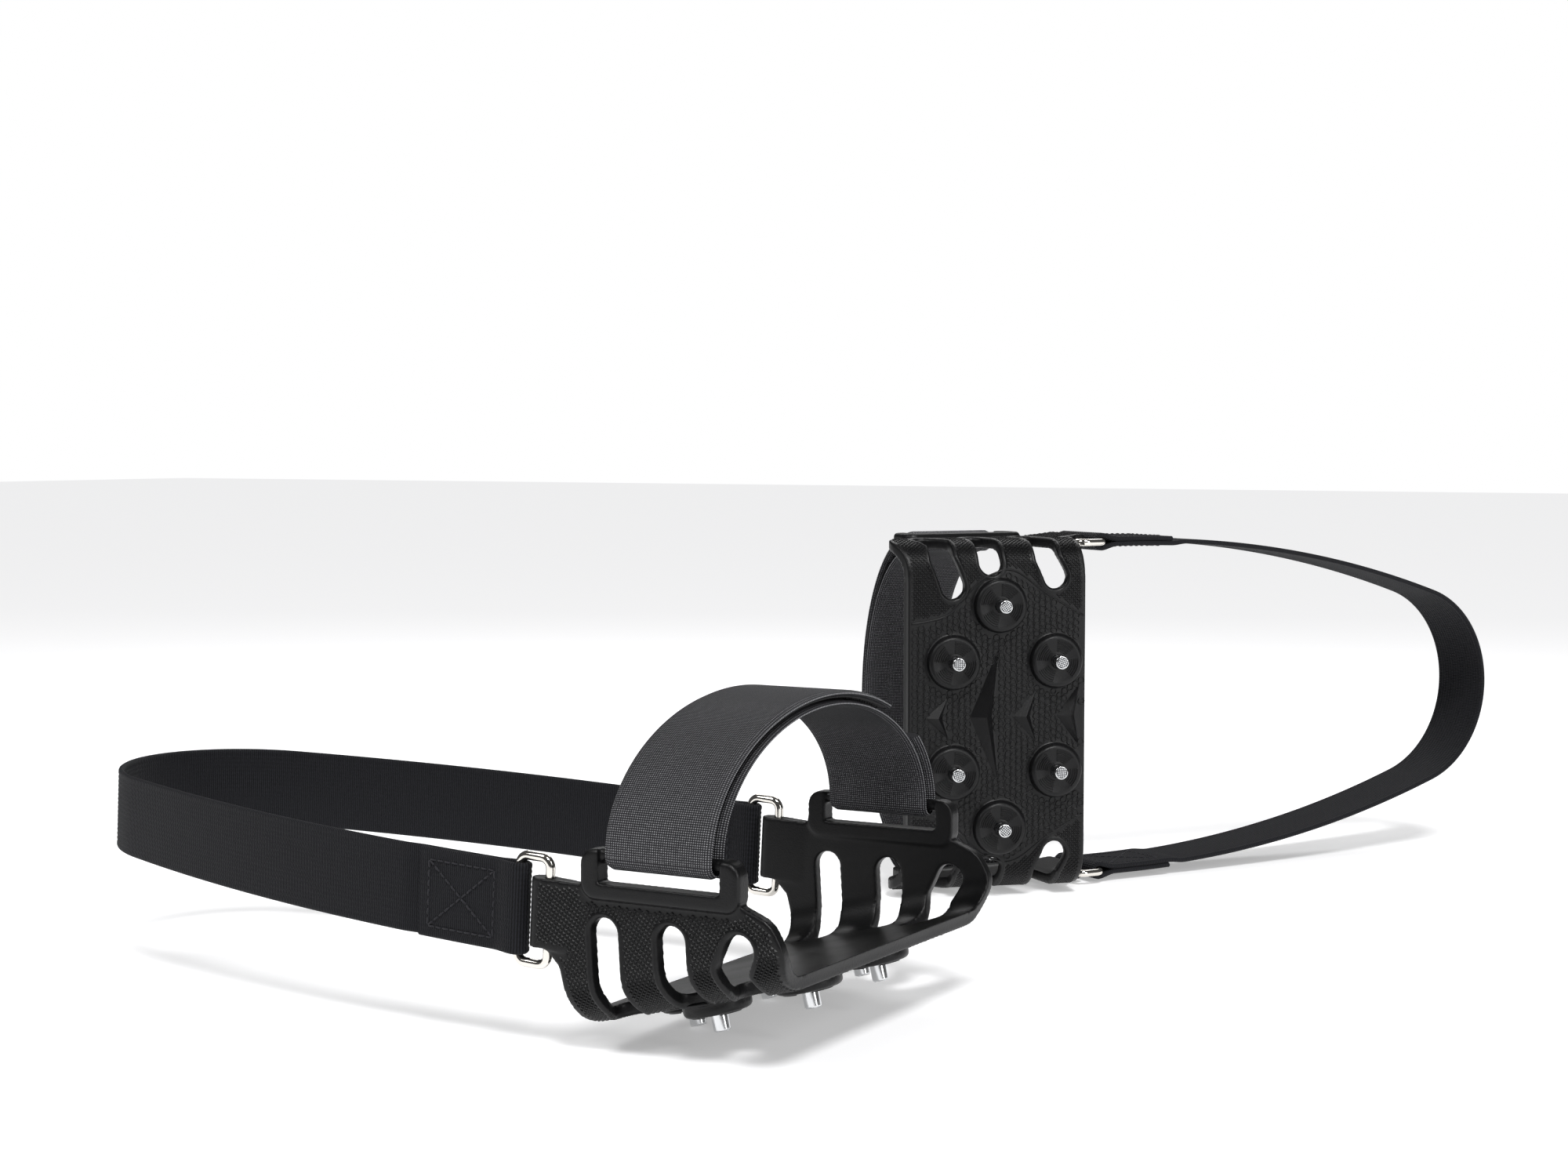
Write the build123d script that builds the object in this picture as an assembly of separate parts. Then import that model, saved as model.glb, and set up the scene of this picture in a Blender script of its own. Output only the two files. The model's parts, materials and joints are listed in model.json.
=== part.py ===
"""A pair of shoe ice cleats: a slotted rubber tread plate with six steel studs under the ball of the
foot, wire rings that carry an elastic heel strap, and a hook-and-loop strap over the instep.

Each cleat is modelled once in its own plate frame and then placed twice: the right one stands as it
is worn, the left one, its mirror image, lies on its inner side with its studs showing.
Plate frame: origin at the middle of the face that the shoe's sole bears on, +X to the outer side of
the foot, +Y to the toes, +Z up out of the face. All lengths are in millimetres, angles in degrees.
"""
from build123d import *
from math import atan2, cos, degrees, radians, sin
import os

# ---- tread plate -----------------------------------------------------------------------------------
WALL = 3.2                # thickness of the rubber
HALF_WIDTH = 57.5         # middle of the foot to the outer face of a wing
BEND_RADIUS = 12.5        # outer radius where the plate turns up into a wing
TOE_EDGE = 31.6
HEEL_EDGE = -28.4
WING_TOE_BULGE = 4.2      # how far a wing swells past the plate's toe edge
WING_WAIST_HEIGHT = 12.5  # where the ear leaves a wing's heel edge
WING_TOE_ROUNDING = 8.0   # of a wing's outline on the toe side
WING_WAIST_ROUNDING = 3.3 # under the ear

# ---- slots through each wing -----------------------------------------------------------------------
SLOT_WIDTH = 7.8
SLOT_INNER = [(45.5, -18.2), (50.2, 3.6), (42.5, 16.6)]   # x, y of each slot's inner end, heel to toe
SLOT_TOP = [(-13.2, 18.6), (5.4, 13.8), (23.6, 9.0)]      # y, z of each slot's upper end
SLOT_TURN_Y = [-15.9, 3.6, 19.7]   # y at which each slot turns up through the bend

# ---- studs and the bosses that hold them -----------------------------------------------------------
STUD_PLACES = [(18.0, 16.7), (-18.0, 16.7), (36.4, 1.0), (-36.4, 1.0), (18.0, -18.0), (-18.0, -18.0)]
BOSS_RADIUS = 8.75
BOSS_HEIGHT = 3.5
BOSS_ROUNDING = 1.5
PIN_RADIUS = 2.2
PIN_STAND_OUT = 4.5       # pin below the boss
PIN_CHAMFER = 0.35
FLANGE_RADIUS = 5.2
FLANGE_THICKNESS = 1.5
FLANGE_COVER = 1.2        # rubber between the boss's face and the flange

# ---- faceted grip chevrons: nose y, tip x, tip y, inner corner y -----------------------------------
CHEVRONS = [(25.8, 7.4, 17.9, 20.4), (11.0, 23.6, 1.0, 3.4),
            (-3.4, 9.1, -11.9, -9.5), (-18.6, 10.8, -26.6, -24.6)]
CHEVRON_HEIGHT = 2.4
CHEVRON_PEAK = 0.68       # place of the peak between the nose and the inner corner
CHEVRON_ROOT = 0.6        # how far a chevron is rooted in the plate

# ---- ear, ring and heel strap ----------------------------------------------------------------------
RING_LEAN = 17.0          # forward lean of the rings' long bars
RING_SEAT = (-29.0, 26.0)   # y, z of the middle of the bar inside the ear
RING_WIRE = 2.4           # wire diameter
RING_INSIDE = 24.4        # clear height inside the ring
RING_DEPTH = 9.2          # between the axes of its two long bars
RING_CORNER = 2.6         # radius of the wire's axis at a corner
EAR_HEIGHT = 17.5
EAR_BACK = 4.9            # rubber behind the bar's axis
EAR_THICKNESS = 5.4
EAR_BLEND = 10.0          # length over which the ear thins down to the wing
BAR_CLEARANCE = 0.06
HEEL_WEB_WIDTH = 23.0
HEEL_WEB_THICKNESS = 1.6
HEEL_WEB_SLACK = 0.25     # gap between the wire and the webbing round it
HEEL_DOUBLED = 30.0       # length of the sewn double end
HEEL_STRAIGHT = 14.0      # from the bar to where the run starts to turn in
HEEL_TURN_IN = 18.0       # how far each side run turns in before the heel
HEEL_RADIUS = 36.0        # of the loop behind the heel

# ---- buckle and instep strap -----------------------------------------------------------------------
BUCKLE_LEAN = 14.0        # forward lean of the strap's plane
BUCKLE_CENTRE = (6.3, 28.8)   # y, z
BUCKLE_LENGTH = 45.0
BUCKLE_HEIGHT = 12.5
BUCKLE_THICKNESS = 5.2
BUCKLE_PROUD = 0.6        # how far the frame's middle stands outside the wing's middle
BUCKLE_CORNER = 4.0
BUCKLE_ROUNDING = 1.2     # of the frame's outer edges
BUCKLE_ROOT = 1.0         # how far the wing and the bar are rooted in the frame's ends
BUCKLE_SILL = 4.1         # lower bar of the frame
WINDOW_LENGTH = 34.5
BUCKLE_BAR_RADIUS = 1.6
INSTEP_WIDTH = 30.0
INSTEP_THICKNESS = 1.6
INSTEP_SLACK = 0.3        # gap between the buckle's bar and the webbing round it
INSTEP_RISE = 32.0        # from the buckle's bar to the top of the arch, inside
LAYER_GAP = 1.0           # between the strap and its turned-back layer, at the top
HOOK_THICKNESS = 0.7
TAB_START = 12.0          # height above the bar where the turned-back layer starts to peel
TAB_END = 124.0           # degrees round the arch from the outer buckle
MEDIAL_RETURN_END = 146.0   # where the sewn layer from the inner buckle ends
HOOK_START = 34.0         # degrees round the arch
HOOK_END = 122.0
HOOK_WIDTH = 28.0
TAB_CUT = 0.25            # degrees left open between the fixed layer and the one that peels
ARCH_STEP = 0.5           # degrees, when looking for a height on the arch

# ---- how the pair stands ---------------------------------------------------------------------------
WORN_PITCH = 14.0         # toe-up tilt of the plate, as under a shoe's toe spring
SIDE_TURN = 222.0         # heading of the cleat that lies on its side
SIDE_PLACE = (-186.0, -26.0)   # its place from the standing one


def turned(lean, along, up):
    """Offset (y, z) of a point given along and across a line that leans forward by lean degrees."""
    return (along * cos(radians(lean)) + up * sin(radians(lean)),
            up * cos(radians(lean)) - along * sin(radians(lean)))


def offset_point(centre, lean, along, up):
    """The (y, z) of a point given in the leaning axes through centre."""
    dy, dz = turned(lean, along, up)
    return (centre[0] + dy, centre[1] + dz)


def leaning_plane(centre, lean, x=0.0):
    """A plane across the foot: its x is the foot's X, its z is the line that leans forward."""
    ly, lz = turned(lean, 0, 1)
    return Plane(origin=(x, *centre), x_dir=(1, 0, 0), z_dir=(0, ly, lz))


def extruded_side(face, x_from, x_to):
    """A face drawn in (y, z), made solid between two x values."""
    return extrude(Plane.YZ.offset(x_from) * face, x_to - x_from)


def stadium(start, end, width):
    """A slot-shaped face between two points."""
    line = Edge.make_line((*start, 0), (*end, 0))
    middle = line.position_at(0.5)
    turn = degrees(atan2(end[1] - start[1], end[0] - start[0]))
    return Pos(middle.X, middle.Y) * Rot(0, 0, turn) * SlotCenterToCenter(line.length, width)


def tetrahedron(a, b, c, d):
    corners = [(a, b, c), (a, b, d), (b, c, d), (c, a, d)]
    faces = [Face(Wire.make_polygon(points, close=True)) for points in corners]
    return Solid(Shell(faces))


WING_MIDDLE = HALF_WIDTH - WALL / 2
BUCKLE_BAR_UP = BUCKLE_HEIGHT / 2 - BUCKLE_BAR_RADIUS
BUCKLE_BAR = offset_point(BUCKLE_CENTRE, BUCKLE_LEAN, 0, BUCKLE_BAR_UP)
RING_PLANE = leaning_plane(RING_SEAT, RING_LEAN)
# across the strap: x is the foot's X, y is up the arch, z is along the strap's width, to the heel
ARCH_PLANE = Plane(origin=(0, *BUCKLE_BAR), x_dir=(1, 0, 0),
                   z_dir=(0, -cos(radians(BUCKLE_LEAN)), sin(radians(BUCKLE_LEAN))))


# ---- tread plate -----------------------------------------------------------------------------------
def wing_outline():
    """Outline of a wing with its ear, seen from the side."""
    half = BUCKLE_LENGTH / 2 - BUCKLE_ROOT
    ear_top = EAR_HEIGHT / 2
    below = -WALL - 1
    points = [
        (HEEL_EDGE, below), (TOE_EDGE, below), (TOE_EDGE, -WALL / 2),
        (TOE_EDGE + WING_TOE_BULGE, BEND_RADIUS / 2),
        (TOE_EDGE + WING_TOE_BULGE / 2, BEND_RADIUS + WALL / 2),
        offset_point(BUCKLE_CENTRE, BUCKLE_LEAN, half, -BUCKLE_HEIGHT / 3),
        offset_point(BUCKLE_CENTRE, BUCKLE_LEAN, half, 0),
        offset_point(BUCKLE_CENTRE, BUCKLE_LEAN, -half, 0),
        offset_point(BUCKLE_CENTRE, BUCKLE_LEAN, -half, BUCKLE_HEIGHT / 3),
        offset_point(RING_SEAT, RING_LEAN, EAR_BLEND, ear_top),
        offset_point(RING_SEAT, RING_LEAN, 0, ear_top),
        offset_point(RING_SEAT, RING_LEAN, 0, -ear_top),
        (HEEL_EDGE, WING_WAIST_HEIGHT),
    ]
    face = make_face(Polyline(*points, close=True))
    waist = [v for v in face.vertices() if v.X < 0 and 0 < v.Y < WING_WAIST_HEIGHT + WALL / 2]
    face = fillet(waist, WING_WAIST_ROUNDING)
    toe_side = [v for v in face.vertices() if v.X > TOE_EDGE - WALL and v.Y > -WALL]
    return fillet(toe_side, WING_TOE_ROUNDING)


def ear(side):
    """The thick sleeve of rubber round a ring's inner bar."""
    end_radius = EAR_THICKNESS / 2
    centre_back = -(EAR_BACK - end_radius)
    section = make_hull([*(Pos(0, centre_back) * Circle(end_radius)).edges(),
                         *(Pos(0, EAR_BLEND) * Circle(WALL / 2)).edges()])
    plane = leaning_plane(RING_SEAT, RING_LEAN, side * WING_MIDDLE)
    body = extrude(plane * section, EAR_HEIGHT / 2, both=True)
    bore = Cylinder(RING_WIRE / 2 + BAR_CLEARANCE, EAR_HEIGHT * 2)
    return body, plane * bore


def buckle(side):
    """The strap frame on top of a wing: the frame, its window and its round top bar."""
    outline = RectangleRounded(BUCKLE_LENGTH, BUCKLE_HEIGHT, BUCKLE_CORNER)
    centre_x = side * (WING_MIDDLE + BUCKLE_PROUD)
    facing = Plane(origin=(centre_x, *BUCKLE_CENTRE),
                   x_dir=(0, cos(radians(BUCKLE_LEAN)), -sin(radians(BUCKLE_LEAN))), z_dir=(1, 0, 0))
    frame = extrude(facing * outline, BUCKLE_THICKNESS / 2, both=True)
    frame = fillet(frame.faces().sort_by(Axis.X)[-1 if side > 0 else 0].edges(), BUCKLE_ROUNDING)
    sill = -BUCKLE_HEIGHT / 2 + BUCKLE_SILL
    opening = BUCKLE_HEIGHT - sill
    window = extrude(facing * (Pos(0, sill + opening / 2) * Rectangle(WINDOW_LENGTH, opening)),
                     BUCKLE_THICKNESS * 2, both=True)
    bar_length = WINDOW_LENGTH + 2 * BUCKLE_ROOT
    bar = ARCH_PLANE * Pos(side * WING_MIDDLE, 0, 0) * Cylinder(BUCKLE_BAR_RADIUS, bar_length)
    return frame, window, bar


def slot_cutter(plane, points, depth_from, depth_to):
    """A slot that follows a chain of points drawn on a plane, cut between two depths."""
    chain = [stadium(start, end, SLOT_WIDTH) for start, end in zip(points, points[1:])]
    return [extrude(plane.offset(depth_from) * face, depth_to - depth_from) for face in chain]


def wing_slots(side):
    """Cutters for the slots that run from under the sole up each wing."""
    bend_x = side * (HALF_WIDTH - BEND_RADIUS / 2)
    bend_z = BEND_RADIUS / 3
    beyond = side * (HALF_WIDTH + SLOT_WIDTH)
    cutters = []
    for (x_in, y_in), y_turn, (y_top, z_top) in zip(SLOT_INNER, SLOT_TURN_Y, SLOT_TOP):
        under = [(side * x_in, y_in), (bend_x, y_turn), (beyond, y_turn)]
        upright = [(y_turn, -WALL / 2), (y_turn, bend_z), (y_top, z_top)]
        cutters += slot_cutter(Plane.XY, under, -2 * WALL, bend_z)
        cutters += slot_cutter(Plane.YZ, upright, bend_x, beyond)
    return cutters


def stud():
    """One steel stud: a pin with the flange that anchors it, its tip pointing down from z = 0."""
    flange_bottom = -WALL - BOSS_HEIGHT + FLANGE_COVER
    tip = -WALL - BOSS_HEIGHT - PIN_STAND_OUT
    pin_length = flange_bottom - tip
    pin = Pos(0, 0, tip + pin_length / 2) * Cylinder(PIN_RADIUS, pin_length)
    pin = chamfer(pin.edges().sort_by(Axis.Z)[0], PIN_CHAMFER)
    flange = Pos(0, 0, flange_bottom + FLANGE_THICKNESS / 2) * Cylinder(FLANGE_RADIUS, FLANGE_THICKNESS)
    return pin + flange


def chevron(nose, tip_x, tip_y, inner):
    """A grip chevron: a pyramid on an arrowhead, under the plate."""
    base = -WALL + CHEVRON_ROOT
    peak = (0, nose + (inner - nose) * CHEVRON_PEAK, -WALL - CHEVRON_HEIGHT)
    halves = [tetrahedron((0, nose, base), (side * tip_x, tip_y, base), (0, inner, base), peak)
              for side in (-1, 1)]
    return halves[0] + halves[1]


def tread_plate(studs):
    """The one-piece rubber moulding: plate, wings, ears, buckles, bosses and chevrons."""
    height = BUCKLE_CENTRE[1] + BUCKLE_HEIGHT * 2
    outer = Pos(0, height / 2 - WALL) * Rectangle(2 * HALF_WIDTH, height)
    outer = fillet(outer.vertices().sort_by(Axis.Y)[:2], BEND_RADIUS)
    inner = Pos(0, height / 2) * Rectangle(2 * (HALF_WIDTH - WALL), height)
    inner = fillet(inner.vertices().sort_by(Axis.Y)[:2], BEND_RADIUS - WALL)
    length = 4 * TOE_EDGE
    band = extrude(Plane.XZ * (outer - inner), length / 2, both=True)
    body = band & extruded_side(wing_outline(), -HALF_WIDTH - WALL, HALF_WIDTH + WALL)
    for side in (-1, 1):
        sleeve, bore = ear(side)
        frame, window, bar = buckle(side)
        body = body + sleeve + frame - window + bar - bore
        for cutter in wing_slots(side):
            body = body - cutter
    for x, y in STUD_PLACES:
        boss = Pos(x, y, -WALL - BOSS_HEIGHT / 2 + WALL / 4) * Cylinder(BOSS_RADIUS, BOSS_HEIGHT + WALL / 2)
        body = body + fillet(boss.edges().sort_by(Axis.Z)[0], BOSS_ROUNDING)
    for sizes in CHEVRONS:
        body = body + chevron(*sizes)
    for piece in studs:
        body = body - piece
    return body


# ---- rings and heel strap --------------------------------------------------------------------------
def ring(side):
    """A rectangular wire ring: its inner bar is in the ear, its outer bar carries the heel strap."""
    plane = leaning_plane(RING_SEAT, RING_LEAN, side * WING_MIDDLE)
    bars = RING_INSIDE + RING_WIRE
    middle = -RING_DEPTH / 2
    flat = Plane(origin=(plane * Pos(0, middle, 0)).position, x_dir=plane.y_dir, z_dir=(1, 0, 0))
    path = (flat * RectangleRounded(RING_DEPTH, bars, RING_CORNER)).wire()
    start = path.position_at(0)
    wire = Plane(origin=start, z_dir=path.tangent_at(0)) * Circle(RING_WIRE / 2)
    return sweep(wire, path=path)


def heel_path():
    """Radii, centres and end points of the heel strap's middle line, on its outer side."""
    straight_end = -RING_DEPTH - HEEL_STRAIGHT
    turn = radians(HEEL_TURN_IN)
    run_radius = (WING_MIDDLE - HEEL_RADIUS * cos(turn)) / (1 - cos(turn))
    join = (HEEL_RADIUS * cos(turn), straight_end - run_radius * sin(turn))
    heel_centre = join[1] + HEEL_RADIUS * sin(turn)
    return straight_end, run_radius, join, heel_centre


def ribbon(radius, centre, start_angle, sweep_angle):
    """A curved band of heel webbing, as a face between two arcs."""
    outer = CenterArc(centre, radius + HEEL_WEB_THICKNESS / 2, start_angle, sweep_angle)
    inner = CenterArc(centre, radius - HEEL_WEB_THICKNESS / 2, start_angle, sweep_angle)
    return make_face([outer, inner, Line(outer @ 0, inner @ 0), Line(outer @ 1, inner @ 1)])


def heel_run(side):
    """One side of the heel strap: the loop round the ring's bar, the sewn double end and the run."""
    straight_end, run_radius, join, _ = heel_path()
    bar = Pos(side * WING_MIDDLE, -RING_DEPTH)
    hole = RING_WIRE / 2 + HEEL_WEB_SLACK
    loop = bar * Circle(hole + HEEL_WEB_THICKNESS)
    doubled = Pos(side * WING_MIDDLE, -RING_DEPTH - HEEL_DOUBLED / 2) * Rectangle(
        2 * HEEL_WEB_THICKNESS, HEEL_DOUBLED)
    lead = Pos(side * WING_MIDDLE, (straight_end - RING_DEPTH) / 2) * Rectangle(
        HEEL_WEB_THICKNESS, HEEL_STRAIGHT)
    centre = (side * (WING_MIDDLE - run_radius), straight_end)
    start = 0 if side > 0 else 180
    run = ribbon(run_radius, centre, start, -side * HEEL_TURN_IN)
    face = loop + doubled + lead + run - bar * Circle(hole)
    return extrude(RING_PLANE * face, HEEL_WEB_WIDTH / 2, both=True)


def heel_back():
    """The part of the heel strap that passes behind the heel."""
    heel_centre = heel_path()[3]
    band = ribbon(HEEL_RADIUS, (0, heel_centre), -HEEL_TURN_IN, -(180 - 2 * HEEL_TURN_IN))
    return extrude(RING_PLANE * band, HEEL_WEB_WIDTH / 2, both=True)


# ---- instep strap ----------------------------------------------------------------------------------
FOLD_INNER = BUCKLE_BAR_RADIUS + INSTEP_SLACK
FOLD_OUTER = FOLD_INNER + INSTEP_THICKNESS
ARCH_INNER = (WING_MIDDLE - FOLD_OUTER, INSTEP_RISE)
ARCH_OUTER = (WING_MIDDLE - FOLD_INNER, INSTEP_RISE + INSTEP_THICKNESS)
BACK_INNER = (WING_MIDDLE + FOLD_INNER, ARCH_OUTER[1] + LAYER_GAP)
BACK_OUTER = (WING_MIDDLE + FOLD_OUTER, BACK_INNER[1] + INSTEP_THICKNESS)


def on_arch(axes, angle):
    """A point on an arch with half-axes (x, up), at an angle from the outer buckle."""
    return (axes[0] * cos(radians(angle)), axes[1] * sin(radians(angle)))


def arch_band(inner, outer, start, end):
    """A face between two arches, from one angle to another."""
    low = EllipticalCenterArc((0, 0), *inner, start_angle=start, arc_size=end - start)
    high = EllipticalCenterArc((0, 0), *outer, start_angle=start, arc_size=end - start)
    return make_face([low, high, Line(low @ 0, high @ 0), Line(low @ 1, high @ 1)])


def strap_solid(face, width=INSTEP_WIDTH):
    return extrude(ARCH_PLANE * face, width / 2, both=True)


def tab_angle():
    """Where the turned-back layer starts to peel, in degrees round the arch."""
    height = 0.0
    angle = 0.0
    while height < TAB_START:
        angle += ARCH_STEP
        height = on_arch(BACK_OUTER, angle)[1]
    return angle


def instep_strap():
    """The strap over the foot, folded round the bar of both buckles."""
    face = arch_band(ARCH_INNER, ARCH_OUTER, 0, 180)
    for side in (-1, 1):
        fold = Circle(FOLD_OUTER) - Circle(FOLD_INNER)
        lower = fold & (Pos(0, -FOLD_OUTER) * Rectangle(4 * FOLD_OUTER, 2 * FOLD_OUTER))
        face = face + Pos(side * WING_MIDDLE, 0) * lower
    face = face + arch_band(BACK_INNER, BACK_OUTER, 0, tab_angle())
    face = face + arch_band(BACK_INNER, BACK_OUTER, MEDIAL_RETURN_END, 180)
    return strap_solid(face)


def instep_tab():
    """The turned-back end of the strap, which peels open."""
    return strap_solid(arch_band(BACK_INNER, BACK_OUTER, tab_angle() + TAB_CUT, TAB_END))


def hook_patch():
    """The hook tape sewn under the tab."""
    top = (BACK_INNER[0], BACK_INNER[1])
    bottom = (BACK_INNER[0] - HOOK_THICKNESS, BACK_INNER[1] - HOOK_THICKNESS)
    return strap_solid(arch_band(bottom, top, HOOK_START, HOOK_END), HOOK_WIDTH)


# ---- one cleat, in its plate frame -----------------------------------------------------------------
def cleat():
    studs = [Pos(x, y, 0) * stud() for x, y in STUD_PLACES]
    pieces = {"tread_plate": tread_plate(studs)}
    for number, piece in enumerate(studs, start=1):
        pieces[f"ice_stud_{number}"] = piece
    pieces["ring_outer_side"] = ring(1)
    pieces["ring_inner_side"] = ring(-1)
    pieces["heel_strap_outer_run"] = heel_run(1)
    pieces["heel_strap_inner_run"] = heel_run(-1)
    pieces["heel_strap_back"] = heel_back()
    pieces["instep_strap"] = instep_strap()
    pieces["instep_tab"] = instep_tab()
    pieces["instep_hook_patch"] = hook_patch()
    return pieces


def place_pair(pieces):
    """Where each cleat goes: a location for each, after the left one is mirrored across the foot.

    Both touch the ground at z = 0, and the pair is centred on the origin."""
    mirrored = {name: piece.mirror(Plane.YZ) for name, piece in pieces.items()}
    standing = Rot(WORN_PITCH, 0, 0)
    lying = Rot(0, 0, SIDE_TURN) * Rot(0, 90, 0)
    right = Compound(children=[standing * p for p in pieces.values()]).bounding_box()
    left = Compound(children=[lying * p for p in mirrored.values()]).bounding_box()
    move_right = Vector(0, 0, -right.min.Z)
    move_left = Vector(*SIDE_PLACE, -left.min.Z)
    low_x = min(right.min.X, left.min.X + move_left.X)
    high_x = max(right.max.X, left.max.X + move_left.X)
    low_y = min(right.min.Y, left.min.Y + move_left.Y)
    high_y = max(right.max.Y, left.max.Y + move_left.Y)
    centre = Vector((low_x + high_x) / 2, (low_y + high_y) / 2, 0)
    return {
        "right": (pieces, Pos(*(move_right - centre)) * standing),
        "left": (mirrored, Pos(*(move_left - centre)) * lying),
    }


PIECES = cleat()
PLACES = place_pair(PIECES)
os.makedirs("parts", exist_ok=True)
for side_name, (side_pieces, location) in PLACES.items():
    for piece_name, piece in side_pieces.items():
        export_step(location * piece, f"parts/{side_name}_{piece_name}.step")
    print(side_name, "cleat at", location.position, location.orientation)
print("heel strap reaches", round(HEEL_RADIUS - heel_path()[3], 1), "behind the ears' bars")
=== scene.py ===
"""Looks of a pair of shoe ice cleats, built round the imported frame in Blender 4.5.

Every piece is drawn in a cleat's own plate frame: origin at the middle of the face that bears the
sole, x to the outer side, y to the toes, z up, in millimetres. plate_matrix() takes it to the row
frame in metres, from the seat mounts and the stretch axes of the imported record.
"""
import bmesh
import bpy
import json
from math import cos, degrees, hypot, pi, radians, sin, sqrt
from mathutils import Matrix, Vector
from mathutils.bvhtree import BVHTree
import numpy as np
import random


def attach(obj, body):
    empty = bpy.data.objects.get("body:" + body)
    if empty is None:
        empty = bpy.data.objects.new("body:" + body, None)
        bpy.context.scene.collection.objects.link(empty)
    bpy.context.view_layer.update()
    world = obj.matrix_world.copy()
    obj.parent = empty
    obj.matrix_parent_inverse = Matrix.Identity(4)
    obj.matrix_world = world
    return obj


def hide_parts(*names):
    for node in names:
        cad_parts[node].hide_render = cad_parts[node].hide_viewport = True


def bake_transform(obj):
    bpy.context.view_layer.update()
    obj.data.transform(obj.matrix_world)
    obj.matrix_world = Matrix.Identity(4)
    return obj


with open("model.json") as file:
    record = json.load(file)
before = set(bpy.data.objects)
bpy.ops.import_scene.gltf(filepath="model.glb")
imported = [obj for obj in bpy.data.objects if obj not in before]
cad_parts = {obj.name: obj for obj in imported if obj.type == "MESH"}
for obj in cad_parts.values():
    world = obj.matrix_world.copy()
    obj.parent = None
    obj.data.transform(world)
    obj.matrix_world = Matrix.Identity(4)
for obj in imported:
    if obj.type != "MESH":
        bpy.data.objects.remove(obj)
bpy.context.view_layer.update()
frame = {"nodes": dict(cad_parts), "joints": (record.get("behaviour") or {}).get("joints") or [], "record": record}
SIDES = ("right", "left")
MM = 0.001

# ---- sizes of the frame that the details follow, in millimetres and degrees ----
WALL = 3.2
HALF_WIDTH = 57.5
BEND_RADIUS = 12.5
TOE_EDGE = 31.6
WING_MIDDLE = HALF_WIDTH - WALL / 2
SLOT_WIDTH = 7.8
SLOT_INNER = [(45.5, -18.2), (50.2, 3.6), (42.5, 16.6)]
SLOT_TOP = [(-13.2, 18.6), (5.4, 13.8), (23.6, 9.0)]
SLOT_TURN_Y = [-15.9, 3.6, 19.7]
STUD_PLACES = [(18.0, 16.7), (-18.0, 16.7), (36.4, 1.0), (-36.4, 1.0), (18.0, -18.0), (-18.0, -18.0)]
BOSS_RADIUS, BOSS_HEIGHT = 8.75, 3.5
PIN_RADIUS, PIN_STAND_OUT = 2.2, 4.5
BOSS_FACE = -WALL - BOSS_HEIGHT
TIP_FACE = BOSS_FACE - PIN_STAND_OUT
FLANGE_RADIUS, FLANGE_THICKNESS, FLANGE_COVER = 5.2, 1.5, 1.2
# Each chevron: y of its nose, x and y of its tips, y of its inner corner.
CHEVRONS = [(25.8, 7.4, 17.9, 20.4), (11.0, 23.6, 1.0, 3.4),
            (-3.4, 9.1, -11.9, -9.5), (-18.6, 10.8, -26.6, -24.6)]
CHEVRON_HEIGHT, CHEVRON_PEAK = 2.4, 0.68
RING_LEAN = 17.0
RING_SEAT = (-29.0, 26.0)
RING_WIRE, RING_INSIDE, RING_DEPTH, RING_CORNER = 2.4, 24.4, 9.2, 2.6
HEEL_WIDTH, HEEL_THICK, HEEL_SLACK = 23.0, 1.6, 0.25
HEEL_DOUBLED, HEEL_STRAIGHT, HEEL_TURN_IN, HEEL_RADIUS = 30.0, 14.0, radians(18.0), 36.0
HEEL_RUN_RADIUS = (WING_MIDDLE - HEEL_RADIUS * cos(HEEL_TURN_IN)) / (1 - cos(HEEL_TURN_IN))
HEEL_HALF = HEEL_STRAIGHT + HEEL_RUN_RADIUS * HEEL_TURN_IN + HEEL_RADIUS * (pi / 2 - HEEL_TURN_IN)
BUCKLE_LEAN = 14.0
BUCKLE_CENTRE = (6.3, 28.8)
BUCKLE_LENGTH, BUCKLE_HEIGHT, BUCKLE_BAR_RADIUS = 45.0, 12.5, 1.6
INSTEP_WIDTH, INSTEP_THICK, INSTEP_SLACK, INSTEP_RISE = 30.0, 1.6, 0.3, 32.0
LAYER_GAP = 1.0
TAB_END, MEDIAL_RETURN_END = 124.0, 146.0

# ---- looks: relief of the moulding, in millimetres and degrees ----
WELD = 0.002
VOXEL, SMOOTH_FACTOR, SMOOTH_TURNS, KEPT_SHARE = 0.45, 0.5, 4, 0.68
SKIN_DEPTH = 0.3
FAR = 99.0
RIM_HEIGHT, RIM_WIDTH = 0.45, 1.8
CHEVRON_PROUD, BUCKLE_BORDER = 0.15, 1.0
BORDER = [(30.7, 30.5), (32.4, 21.0), (35.9, 15.4), (45.0, 6.7), (47.9, -3.4), (39.7, -15.7),
          (31.3, -30.2)]
BEAD_RADIUS, BEAD_WIDTH, BEAD_SIDES, BORDER_STEPS = 0.36, 1.3, 8, 12
DISH_DEPTH, DISH_RADIUS, HUB_HEIGHT, HUB_SLOPE = 0.6, 7.3, 0.1, 0.8
PROBE, FACING_LIMIT, EVEN_LIMIT, FLAT_LIMIT, EAR_LIMIT = 3.0, 0.9, 0.35, 0.12, 1.7
CELL_PITCH, CELL_ROW_PITCH, CELL_JITTER, CELL_COLUMNS, CELL_SEED = 2.25, 1.9485, 0.14, 24, 11
CELL_RADIUS, CELL_CORNER, CELL_WALL, CELL_HEIGHT, CELL_MARGIN = 0.95, 0.06, 0.2, 0.3, 1.25
CELL_STEPS, CELL_SIDES, CELL_SIZES = 18, 6, (0.9, 1.08)
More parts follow.
